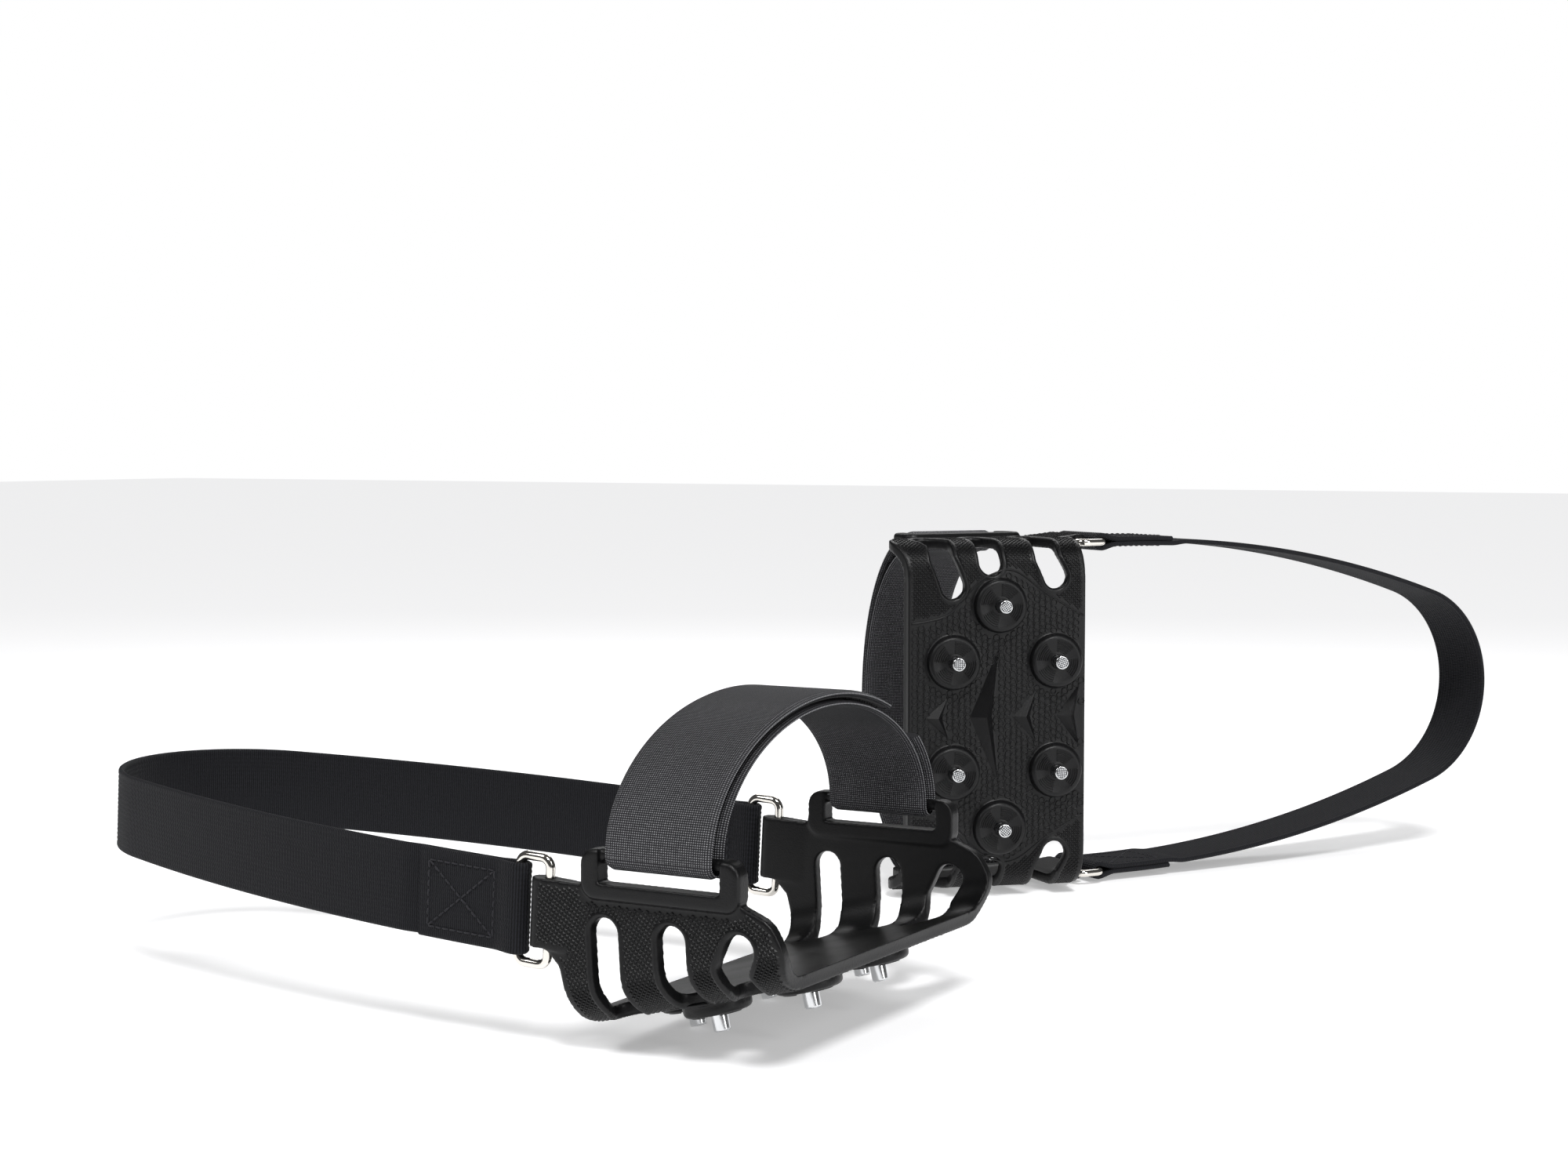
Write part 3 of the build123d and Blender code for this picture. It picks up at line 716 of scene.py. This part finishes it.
def cell_spots(tree):
    """Slightly uneven staggered places over the sole, inside the border."""
    spots = []
    chance = random.Random(CELL_SEED)
    row_count = int(2 * TOE_EDGE / CELL_ROW_PITCH) + 2
    for row in range(-row_count // 2, row_count // 2 + 1):
        y = row * CELL_ROW_PITCH + chance.uniform(-CELL_JITTER, CELL_JITTER)
        for column in range(-CELL_COLUMNS, CELL_COLUMNS + 1):
            x = (column + row % 2 / 2) * CELL_PITCH + chance.uniform(-CELL_JITTER, CELL_JITTER)
            dy = chance.uniform(-CELL_JITTER, CELL_JITTER)
            if abs(x) > border_at(y + dy) - BEAD_WIDTH:
                continue
            spot = surface_spot(tree, 1 if x >= 0 else -1, abs(x), y + dy, CELL_MARGIN, FLAT_LIMIT)
            if spot:
                size = (chance.uniform(*CELL_SIZES), chance.uniform(*CELL_SIZES), 1.0)
                spots.append((*spot, (1, 0, 0), size))
    return spots


def hatch_spots(tree):
    """Staggered places all over the wings, outside the border."""
    spots = []
    for sign in (1, -1):
        for row in range(int(HATCH_END / (HATCH_ALONG / 2))):
            s = row * HATCH_ALONG / 2
            for column in range(-HATCH_COLUMNS, HATCH_COLUMNS + 2):
                y = (column + row % 2 / 2) * HATCH_ACROSS
                if s < border_at(y) + BEAD_WIDTH:
                    continue
                spot = surface_spot(tree, sign, s, y, HATCH_MARGIN, EAR_LIMIT)
                if spot and not on_buckle(y, spot[0].z):
                    spots.append((*spot, (0, 1, 0), (1, 1, 1)))
    return spots


def diamond_unit():
    """One closed diamond of the hatch, its long way along x."""
    base = [(HATCH_LONG, 0), (0, HATCH_SHORT), (-HATCH_LONG, 0), (0, -HATCH_SHORT)]
    levels = ((1.0, -HATCH_HEIGHT), (1.0, 0.0), (HATCH_TOP, HATCH_HEIGHT))
    return skin("diamond", [[(x * k, y * k, z) for x, y in base] for k, z in levels])


def cell_unit():
    """The raised rim of one rounded six-sided cell of the sole zone."""
    stations = []
    for a in turns(CELL_STEPS):
        radius = CELL_RADIUS * (1 + CELL_CORNER * cos(6 * a))
        ring = [(radius + CELL_WALL * cos(t), CELL_HEIGHT * sin(t)) for t in turns(CELL_SIDES)]
        stations.append([(r * cos(a), r * sin(a), z) for r, z in ring])
    return skin("cell", stations, closed_path=True)


def chevron_mesh():
    """The faceted grip chevrons, with crisp edges, over the moulding's softened ones."""
    halves = []
    floor = -WALL + CHEVRON_PROUD
    faces = [(0, 1, 2), (0, 3, 1), (1, 3, 2), (2, 3, 0)]
    for nose, tip_x, tip_y, inner in CHEVRONS:
        peak = (0, nose + (inner - nose) * CHEVRON_PEAK, -WALL - CHEVRON_HEIGHT - CHEVRON_PROUD)
        for sign in (-1, 1):
            tip = (sign * (tip_x + 2 * CHEVRON_PROUD), tip_y - CHEVRON_PROUD, floor)
            base = [(0, nose + CHEVRON_PROUD, floor), tip, (0, inner - CHEVRON_PROUD, floor)]
            halves.append(build_mesh("chevron", base + [peak], faces))
    return joined("chevrons", halves)


def fan_unit():
    """The arc ridges of one sector of a boss, round z, standing on its dished face."""
    ridges = []
    for radius in FAN_RADII:
        base = -float(dish(radius))
        ring = [(radius + FAN_RIDGE * cos(t), base + FAN_LIFT * sin(t)) for t in turns(FAN_SIDES)]
        stations = []
        for turn in np.radians(np.linspace(-FAN_ANGLE / 2, FAN_ANGLE / 2, FAN_STEPS)):
            stations.append([(r * cos(turn), r * sin(turn), h) for r, h in ring])
        ridges.append(skin("ridge", stations))
    return joined("fan", ridges)


def fan_spots():
    """The sectors of ridges on the six bosses."""
    spots = []
    for x, y in STUD_PLACES:
        for angle in FAN_TURNS:
            along = (cos(radians(angle)), sin(radians(angle)), 0)
            spots.append(((x, y, BOSS_FACE), (0, 0, -1), along, (1, 1, 1)))
    return spots


def make_moulding(rubber):
    tree = BVHTree.FromBMesh(bmesh_of(plate_copy("right_tread_plate")))
    place("tread_moulding", tread_mesh(), rubber, "plate", ["tread_plate"])
    cells = scatter("cells", cell_spots(tree), cell_unit(), rubber, *CELL_SPREADS, CELL_SEED)
    hatch = scatter("hatch", hatch_spots(tree), diamond_unit(), rubber, *HATCH_SPREADS, HATCH_SEED)
    fans = scatter("fans", fan_spots(), fan_unit(), rubber)
    cells.shade_smooth()
    fans.shade_smooth()
    hatch.shade_flat()
    for name, mesh in (("border_line", border_mesh(tree)), ("grip_chevrons", chevron_mesh()),
                       ("sole_cells", cells), ("wing_hatch", hatch), ("boss_ridges", fans)):
        place(name, mesh, rubber, "plate")


# ---- studs ----
def stud_mesh(x, y):
    """A pin with its flange and a rounded edge round its tip."""
    flange = BOSS_FACE + FLANGE_COVER
    edge = [(PIN_RADIUS - TIP_EDGE * inset, TIP_FACE + TIP_EDGE * rise) for inset, rise in TIP_CURVE]
    inside = [(PIN_RADIUS, flange), (FLANGE_RADIUS, flange), (FLANGE_RADIUS, flange + FLANGE_THICKNESS)]
    profile = [(0, TIP_FACE), *edge, *inside, (0, flange + FLANGE_THICKNESS)]
    mesh = moved(lathe("stud", profile), Matrix.Translation((x, y, 0)))
    shade_by_angle(mesh)
    return mesh


def knurl_spots():
    """A grid of fine points over the tips of the six pins."""
    spots = []
    reach = int(PIN_RADIUS / KNURL_PITCH) + 1
    for number, (x, y) in enumerate(STUD_PLACES):
        turn = radians(KNURL_TURN * number)
        for i in range(-reach, reach + 1):
            for k in range(-reach, reach + 1):
                if hypot(i, k) * KNURL_PITCH < PIN_RADIUS - TIP_EDGE * 2:
                    dx = (i * cos(turn) - k * sin(turn)) * KNURL_PITCH
                    dy = (i * sin(turn) + k * cos(turn)) * KNURL_PITCH
                    along = (cos(turn), sin(turn), 0)
                    spots.append(((x + dx, y + dy, TIP_FACE), (0, 0, -1), along, (1, 1, 1)))
    return spots


def knurl_unit():
    half = KNURL_PITCH * KNURL_SHARE
    base = [(half, half), (-half, half), (-half, -half), (half, -half)]
    levels = ((1.0, -KNURL_HEIGHT / 2), (1.0, 0.0), (KNURL_TOP, KNURL_HEIGHT))
    return skin("knurl_point", [[(x * k, y * k, z) for x, y in base] for k, z in levels])


def groove_shade_mesh():
    """A dark disc on all six tips that shows between the knurl's points: painted shade in the grooves."""
    reach, floor = PIN_RADIUS - TIP_EDGE * GROOVE_INSET, TIP_FACE - GROOVE_FLOOR
    disc = lathe("groove", [(0, floor), (reach, floor), (reach, TIP_FACE), (0, TIP_FACE)])
    return joined("grooves", [moved(disc, Matrix.Translation((x, y, 0))) for x, y in STUD_PLACES])


def make_studs(steel, tip_steel, groove_shade_steel):
    for number, (x, y) in enumerate(STUD_PLACES, start=1):
        node = f"ice_stud_{number}"
        place(f"stud_{number}", stud_mesh(x, y), steel, "plate", [node])
    knurl = scatter("knurl", knurl_spots(), knurl_unit(), tip_steel)
    # The grooves' dark disc is painted shade, not a darker steel.
    place("stud_tip_grooves", groove_shade_mesh(), groove_shade_steel, "plate")
    place("stud_tip_knurl", knurl, tip_steel, "plate")


# ---- rings ----
def ring_point(x, along, up):
    """A place from x and the distances to the toes and up from the ring's seat, along its lean."""
    return (x, *leaning(RING_SEAT, RING_LEAN, along, up))


def ring_direction(x, along, up):
    return (Vector(ring_point(x, along, up)) - Vector(ring_point(0, 0, 0))).normalized()


def ring_mesh(sign):
    """A rectangle of round wire, from the ear's bore to the heel strap's loop."""
    half_q, half_v = RING_DEPTH / 2, (RING_INSIDE + RING_WIRE) / 2
    stations = []
    corners = ((1, 1), (-1, 1), (-1, -1), (1, -1))
    for number, (sq, sv) in enumerate(corners):
        for step in range(RING_STEPS + 1):
            a = pi / 2 * (number + step / RING_STEPS)
            q = -half_q + sq * (half_q - RING_CORNER) + RING_CORNER * cos(a)
            v = sv * (half_v - RING_CORNER) + RING_CORNER * sin(a)
            ring = []
            for t in turns(WIRE_SIDES):
                reach, out = RING_WIRE / 2 * cos(t), RING_WIRE / 2 * sin(t)
                ring.append(ring_point(sign * WING_MIDDLE + out, q + reach * cos(a), v + reach * sin(a)))
            stations.append(ring)
    mesh = skin("ring", stations, closed_path=True)
    mesh.shade_smooth()
    return mesh


def make_rings(nickel):
    for sign, word in ((1, "outer"), (-1, "inner")):
        node = f"ring_{word}_side"
        place(f"wire_ring_{word}", ring_mesh(sign), nickel, f"ring_{word}", [node])


# ---- webbing ----
def lengths_of(path):
    """The length along a path at each of its points."""
    steps = np.hypot(*np.diff(path, axis=0).T)
    return np.concatenate([[0], np.cumsum(steps)])


def evenly(path, step):
    """The same path with points step apart."""
    path = np.asarray(path, float)
    along = lengths_of(path)
    wanted = np.linspace(0, along[-1], max(2, int(along[-1] / step)))
    return np.stack([np.interp(wanted, along, path[:, k]) for k in (0, 1)], axis=1)


def band(name, path, to_plate, width, half_thick, relief=None):
    """Webbing along a path in a plane.

    half_thick(v) is its half thickness across the width and relief(u) what its cross ribs add."""
    path = np.asarray(path, float)
    along = lengths_of(path)
    tangent = np.gradient(path, axis=0)
    tangent /= np.hypot(*tangent.T)[:, None]
    normal = np.stack([-tangent[:, 1], tangent[:, 0]], axis=1)
    across = np.linspace(-width / 2, width / 2, ACROSS_COUNT[name])
    section = [(v, half_thick(v)) for v in across] + [(v, -half_thick(v)) for v in across[::-1]]
    stations, weave = [], []
    for point, out, u in zip(path, normal, along):
        extra = relief(u) if relief else 0.0
        ring = []
        for v, o in section:
            a, b = point + out * (o + np.sign(o) * extra)
            ring.append(to_plate(a, b, v))
            weave.append((u, v, o))
        stations.append(ring)
    mesh = skin(name, stations, weave=weave)
    shade_by_angle(mesh, WEBBING_SHARP)
    return mesh


def edge_round(v, width, half_thick):
    """Half thickness near a band's edge, rounded off."""
    inset = min(1.0, (width / 2 - abs(v)) / half_thick)
    return half_thick * sqrt(max(EDGE_LEAST, 1 - (1 - inset) ** 2))


def elastic_half(v):
    """Ribbed face of the heel elastic, with a plain thick selvedge on each edge."""
    half = edge_round(v, HEEL_WIDTH, HEEL_THICK / 2)
    if abs(v) > HEEL_WIDTH / 2 - SELVEDGE:
        return half
    return half * (1 - ELASTIC_RELIEF * (0.5 - 0.5 * cos(2 * pi * v / ELASTIC_RIB)))


def heel_middle(length):
    """The heel strap's middle line on the outer side, and its outward normal, length from the bar."""
    straight_end = -RING_DEPTH - HEEL_STRAIGHT
    if length <= HEEL_STRAIGHT:
        return np.array([WING_MIDDLE, -RING_DEPTH - length]), np.array([1.0, 0.0])
    run = length - HEEL_STRAIGHT
    turned_run = HEEL_RUN_RADIUS * HEEL_TURN_IN
    if run <= turned_run:
        a = run / HEEL_RUN_RADIUS
        out = np.array([cos(a), -sin(a)])
        return np.array([WING_MIDDLE - HEEL_RUN_RADIUS, straight_end]) + HEEL_RUN_RADIUS * out, out
    a = HEEL_TURN_IN + (run - turned_run) / HEEL_RADIUS
    out = np.array([cos(a), -sin(a)])
    centre_y = straight_end - (HEEL_RUN_RADIUS - HEEL_RADIUS) * sin(HEEL_TURN_IN)
    return np.array([0, centre_y]) + HEEL_RADIUS * out, out


def eased(value):
    """A soft step from 0 to 1 as the value goes from 0 to 1."""
    value = max(0.0, min(1.0, value))
    return value * value * (3 - 2 * value)


def layer_offset(length):
    """How far each sewn layer stands from the middle line, at a length from the bar."""
    layer = HEEL_THICK / 2 + SEAM_GAP
    return LOOP_OFFSET + (layer - LOOP_OFFSET) * eased(length / LOOP_BLEND)


def heel_path():
    """Middle line of the whole heel strap, from its outer sewn end round the heel to its inner one."""
    side = []
    for length in np.arange(HEEL_DOUBLED, 0, -PATH_STEP):
        point, out = heel_middle(length)
        side.append(point + out * layer_offset(length))
    for a in np.radians(np.arange(0, 180 + TURN_STEP, TURN_STEP)):
        side.append(np.array([WING_MIDDLE + LOOP_OFFSET * cos(a), -RING_DEPTH + LOOP_OFFSET * sin(a)]))
    for length in np.arange(PATH_STEP, HEEL_HALF, PATH_STEP):
        point, out = heel_middle(length)
        doubled = 1 - eased((length - HEEL_DOUBLED) / LOOP_BLEND)
        side.append(point - out * layer_offset(length) * doubled)
    side.append(heel_middle(HEEL_HALF)[0])
    other = [np.array([-p[0], p[1]]) for p in reversed(side[:-1])]
    return evenly(side + other, HEEL_STEP)


def stitch_row(start, end):
    """Places along a straight seam in (length, across), each with its direction."""
    start, end = np.array(start, float), np.array(end, float)
    count = max(1, int(np.hypot(*(end - start)) / STITCH_PITCH))
    return [(start + (end - start) * (i + 0.5) / count, end - start) for i in range(count)]


def box_seam(near, far, half):
    """A stitched box with its two diagonals."""
    corners = [(near, -half), (far, -half), (far, half), (near, half)]
    places = []
    for start, end in zip(corners, corners[1:] + corners[:1]):
        places += stitch_row(start, end)
    return places + stitch_row(corners[0], corners[2]) + stitch_row(corners[1], corners[3])


def stitch_unit():
    """A short sewn thread, sunk at both ends."""
    half = STITCH_PITCH * STITCH_SHARE
    stations = []
    for t in np.linspace(-1, 1, STITCH_STEPS):
        fat = STITCH_RADIUS * sqrt(max(STITCH_LEAST, 1 - t ** 6))
        rise = STITCH_RADIUS * (STITCH_RISE * (1 - t * t) - STITCH_SINK)
        stations.append([(t * half, fat * cos(a), rise + fat * sin(a)) for a in turns(STITCH_SIDES)])
    return skin("stitch", stations)


def heel_stitch_spots():
    """A stitched box on both faces of both sewn ends."""
    spots = []
    for sign in (1, -1):
        for face in (1, -1):
            for (length, v), (du, dv) in box_seam(*HEEL_SEAM):
                middle, out = heel_middle(length)
                x, q = middle + out * face * (layer_offset(length) + HEEL_THICK / 2)
                ahead = heel_middle(length + du * PROBE_STEP)[0] - middle
                along = ring_direction(sign * ahead[0], ahead[1], dv * PROBE_STEP)
                facing = ring_direction(sign * out[0] * face, out[1] * face, 0)
                spots.append((ring_point(sign * x, q, v), facing, along, (1, 1, 1)))
    return spots


def make_heel_strap(elastic, thread):
    mesh = band("heel_strap", heel_path(), ring_point, HEEL_WIDTH, elastic_half)
    start = ring_point(0, -RING_DEPTH - HEEL_DOUBLED - STRETCH_GAP, 0)
    end = ring_point(0, heel_middle(HEEL_HALF)[0][1] + HEEL_RADIUS, 0)
    nodes = ["heel_strap_outer_run", "heel_strap_inner_run", "heel_strap_back"]
    place("heel_elastic", mesh, elastic, ("heel_strap", "heel_loop", start, end), nodes)
    spots = heel_stitch_spots()
    seams = scatter("heel_seams", spots, stitch_unit(), thread, *STITCH_SPREADS, HEEL_SEAM_SEED)
    seams.shade_smooth()
    place("heel_strap_seams", seams, thread, "heel_strap")


# ---- instep strap ----
def arch_point(x, up, along):
    """A place from (x, height above the buckle's bar) and the distance along the strap's width."""
    return (x, *leaning(BUCKLE_BAR, BUCKLE_LEAN, along, up))


def arch_arc(axes, start, end):
    """An arc of an ellipse from one angle to another, in degrees from the outer buckle."""
    step = ARC_STEP if end > start else -ARC_STEP
    angles = np.radians(np.arange(start, end, step).tolist() + [end])
    return [(axes[0] * cos(a), axes[1] * sin(a)) for a in angles]


def fold_arc(sign):
    """Round under a buckle's bar, from outside in for the outer buckle and back out for the inner."""
    radius = FOLD_INNER + INSTEP_THICK / 2
    angles = np.radians(-np.arange(0, 180 + TURN_STEP, TURN_STEP))
    points = [(sign * (WING_MIDDLE + radius * cos(a)), radius * sin(a)) for a in angles]
    return points if sign > 0 else points[::-1]


def webbing_half(v):
    """Half thickness of the instep webbing, with faint ribs along it."""
    half = edge_round(v, INSTEP_WIDTH, INSTEP_THICK / 2)
    return half * (1 - WARP_RELIEF * (0.5 - 0.5 * cos(2 * pi * v / WARP_RIB)))


def webbing_relief(u):
    """Cross ribs of the webbing."""
    return WEFT_RELIEF * cos(2 * pi * u / INSTEP_RIB)


def instep_under_path():
    """Round the outer bar, over the foot, round the inner bar and back up to the sewn end."""
    path = fold_arc(1) + arch_arc(ARCH_MIDDLE, 0, 180)[1:-1] + fold_arc(-1)
    return evenly(path + arch_arc(BACK_MIDDLE, 180, MEDIAL_RETURN_END)[1:], INSTEP_STEP)


def instep_over_path():
    """Back over the foot from the outer bar to the tab's end."""
    return evenly(arch_arc(BACK_MIDDLE, 0, TAB_END), INSTEP_STEP)


def arch_spots(axes, angles, across, inward):
    """Places on an arch, facing in or out, with their long way across the strap."""
    spots = []
    along = Vector(arch_point(0, 0, 1)) - Vector(arch_point(0, 0, 0))
    for angle in angles:
        a = radians(angle)
        x, up = axes[0] * cos(a), axes[1] * sin(a)
        out = Vector((x / axes[0] ** 2, up / axes[1] ** 2)).normalized() * (-1 if inward else 1)
        facing = Vector(arch_point(out.x, out.y, 0)) - Vector(arch_point(0, 0, 0))
        for v in across:
            spots.append((arch_point(x, up, v), facing, along, (1, 1, 1)))
    return spots


def hook_patch_mesh(hooks):
    """The hook tape's base with its rows of little hooks, on the inner face of the tab."""
    base_path = evenly(arch_arc([axis - HOOK_BASE / 2 for axis in BACK_INNER], HOOK_START, HOOK_END), 1.0)
    base = band("hook_base", base_path, arch_point, HOOK_WIDTH, lambda v: HOOK_BASE / 2)
    step = degrees(HOOK_PITCH / BACK_INNER[0])
    rows = np.arange(HOOK_START + step, HOOK_END - step, step)
    columns = np.arange(-HOOK_WIDTH / 2 + HOOK_MARGIN, HOOK_WIDTH / 2 - HOOK_MARGIN, HOOK_PITCH)
    spots = arch_spots([axis - HOOK_BASE for axis in BACK_INNER], rows, columns, inward=True)
    unit = lathe("hook", HOOK_PROFILE, around=6)
    field = scatter("hook_field", spots, unit, hooks, *HOOK_SPREADS, HOOK_SEED)
    return joined("hook_patch", [base, field])


def make_instep_strap(webbing, hooks, thread):
    shape = (arch_point, INSTEP_WIDTH, webbing_half, webbing_relief)
    under = band("instep_under", instep_under_path(), *shape)
    place("instep_under_layer", under, webbing, "plate", ["instep_strap"])
    over = band("instep_over", instep_over_path(), *shape)
    peel = ("plate", "instep_tab", arch_point(0, PEEL_FROM, 0), arch_point(0, PEEL_TO, 0))
    place("instep_over_layer", over, webbing, peel, ["instep_tab"])
    place("hook_patch", hook_patch_mesh(hooks), hooks, "instep_tab", ["instep_hook_patch"])
    make_instep_seams(thread)


def make_instep_seams(thread):
    """Seams that hold the hook tape under the tab and the sewn end at the inner buckle."""
    across = np.arange(-INSTEP_WIDTH / 2 + SEAM_INSET, INSTEP_WIDTH / 2 - SEAM_INSET, STITCH_PITCH)
    unit = stitch_unit()
    rows = (("tab_seams", TAB_SEAMS, "instep_tab"), ("sewn_end_seams", SEWN_END_SEAMS, "plate"))
    for name, angles, body in rows:
        spots = arch_spots(BACK_OUTER, angles, across, inward=False)
        mesh = scatter(name, spots, unit, thread, *STITCH_SPREADS, INSTEP_SEAM_SEED)
        mesh.shade_smooth()
        place(name, mesh, thread, body)


# ---- floor, lights and world ----
def make_floor():
    mesh = bpy.data.meshes.new("floor")
    corners = [(x * FLOOR_HALF, y * FLOOR_HALF, 0) for x, y in ((-1, -1), (1, -1), (1, 1), (-1, 1))]
    mesh.from_pydata(corners, [], [(0, 1, 2, 3)])
    floor = add_object("floor", mesh)
    floor.location.z = -FLOOR_GAP
    material, _, shader = new_material("floor", FLOOR_COLOUR, roughness=0.6)
    shader.inputs["Emission Color"].default_value = WHITE
    shader.inputs["Emission Strength"].default_value = FLOOR_GLOW
    mesh.materials.append(material)


def make_soft_box(name, location, size, power):
    data = bpy.data.lights.new(name, "AREA")
    data.shape = "RECTANGLE"
    data.size, data.size_y = size
    data.energy = power
    light = add_object(name, data)
    light.location = location
    light.rotation_euler = (Vector(LIGHT_AIM) - Vector(location)).to_track_quat("-Z", "Y").to_euler()


def make_sun():
    """One broad, soft sun that lights the floor evenly."""
    data = bpy.data.lights.new("sun", "SUN")
    data.energy = SUN_POWER
    data.angle = radians(SUN_SPREAD)
    add_object("sun", data).rotation_euler = [radians(angle) for angle in SUN_TILT]


def make_world():
    """A pale room: white to look at, dimmer as a light."""
    world = bpy.data.worlds.new("room")
    bpy.context.scene.world = world
    world.use_nodes = True
    tree = world.node_tree
    background = tree.nodes["Background"]
    background.inputs["Color"].default_value = WHITE
    seen = tree.nodes.new("ShaderNodeLightPath").outputs["Is Camera Ray"]
    tree.links.new(span(tree, seen, ROOM_LIGHT, 1.0), background.inputs["Strength"])
    bpy.context.scene.view_settings.view_transform = "Standard"


def make_lights():
    """Soft boxes overhead and on both sides of the view, in an even pale room."""
    for box in SOFT_BOXES:
        make_soft_box(*box)
    make_sun()
    make_world()


make_camera()
rubber = rubber_material()
thread = plain_fabric("sewing_thread", THREAD_COLOUR, scale=4000.0)
make_moulding(rubber)
# The third steel is dark painted shade for the knurl's grooves.
make_studs(steel_material("stud_steel", STEEL_COLOUR, low=0.1, high=0.22, scale=900.0),
           steel_material("stud_tip_steel", STEEL_COLOUR, low=0.25, high=0.4, scale=1500.0),
           steel_material("stud_groove_painted_shade", GROOVE_PAINTED_SHADE, low=0.5, high=0.7, scale=1500.0))
make_rings(steel_material("ring_nickel", NICKEL_COLOUR, low=0.06, high=0.16, scale=500.0))
make_heel_strap(elastic_material(), thread)
make_instep_strap(webbing_material(), plain_fabric("hook_tape", HOOK_COLOUR, scale=3000.0), thread)
make_floor()
make_lights()
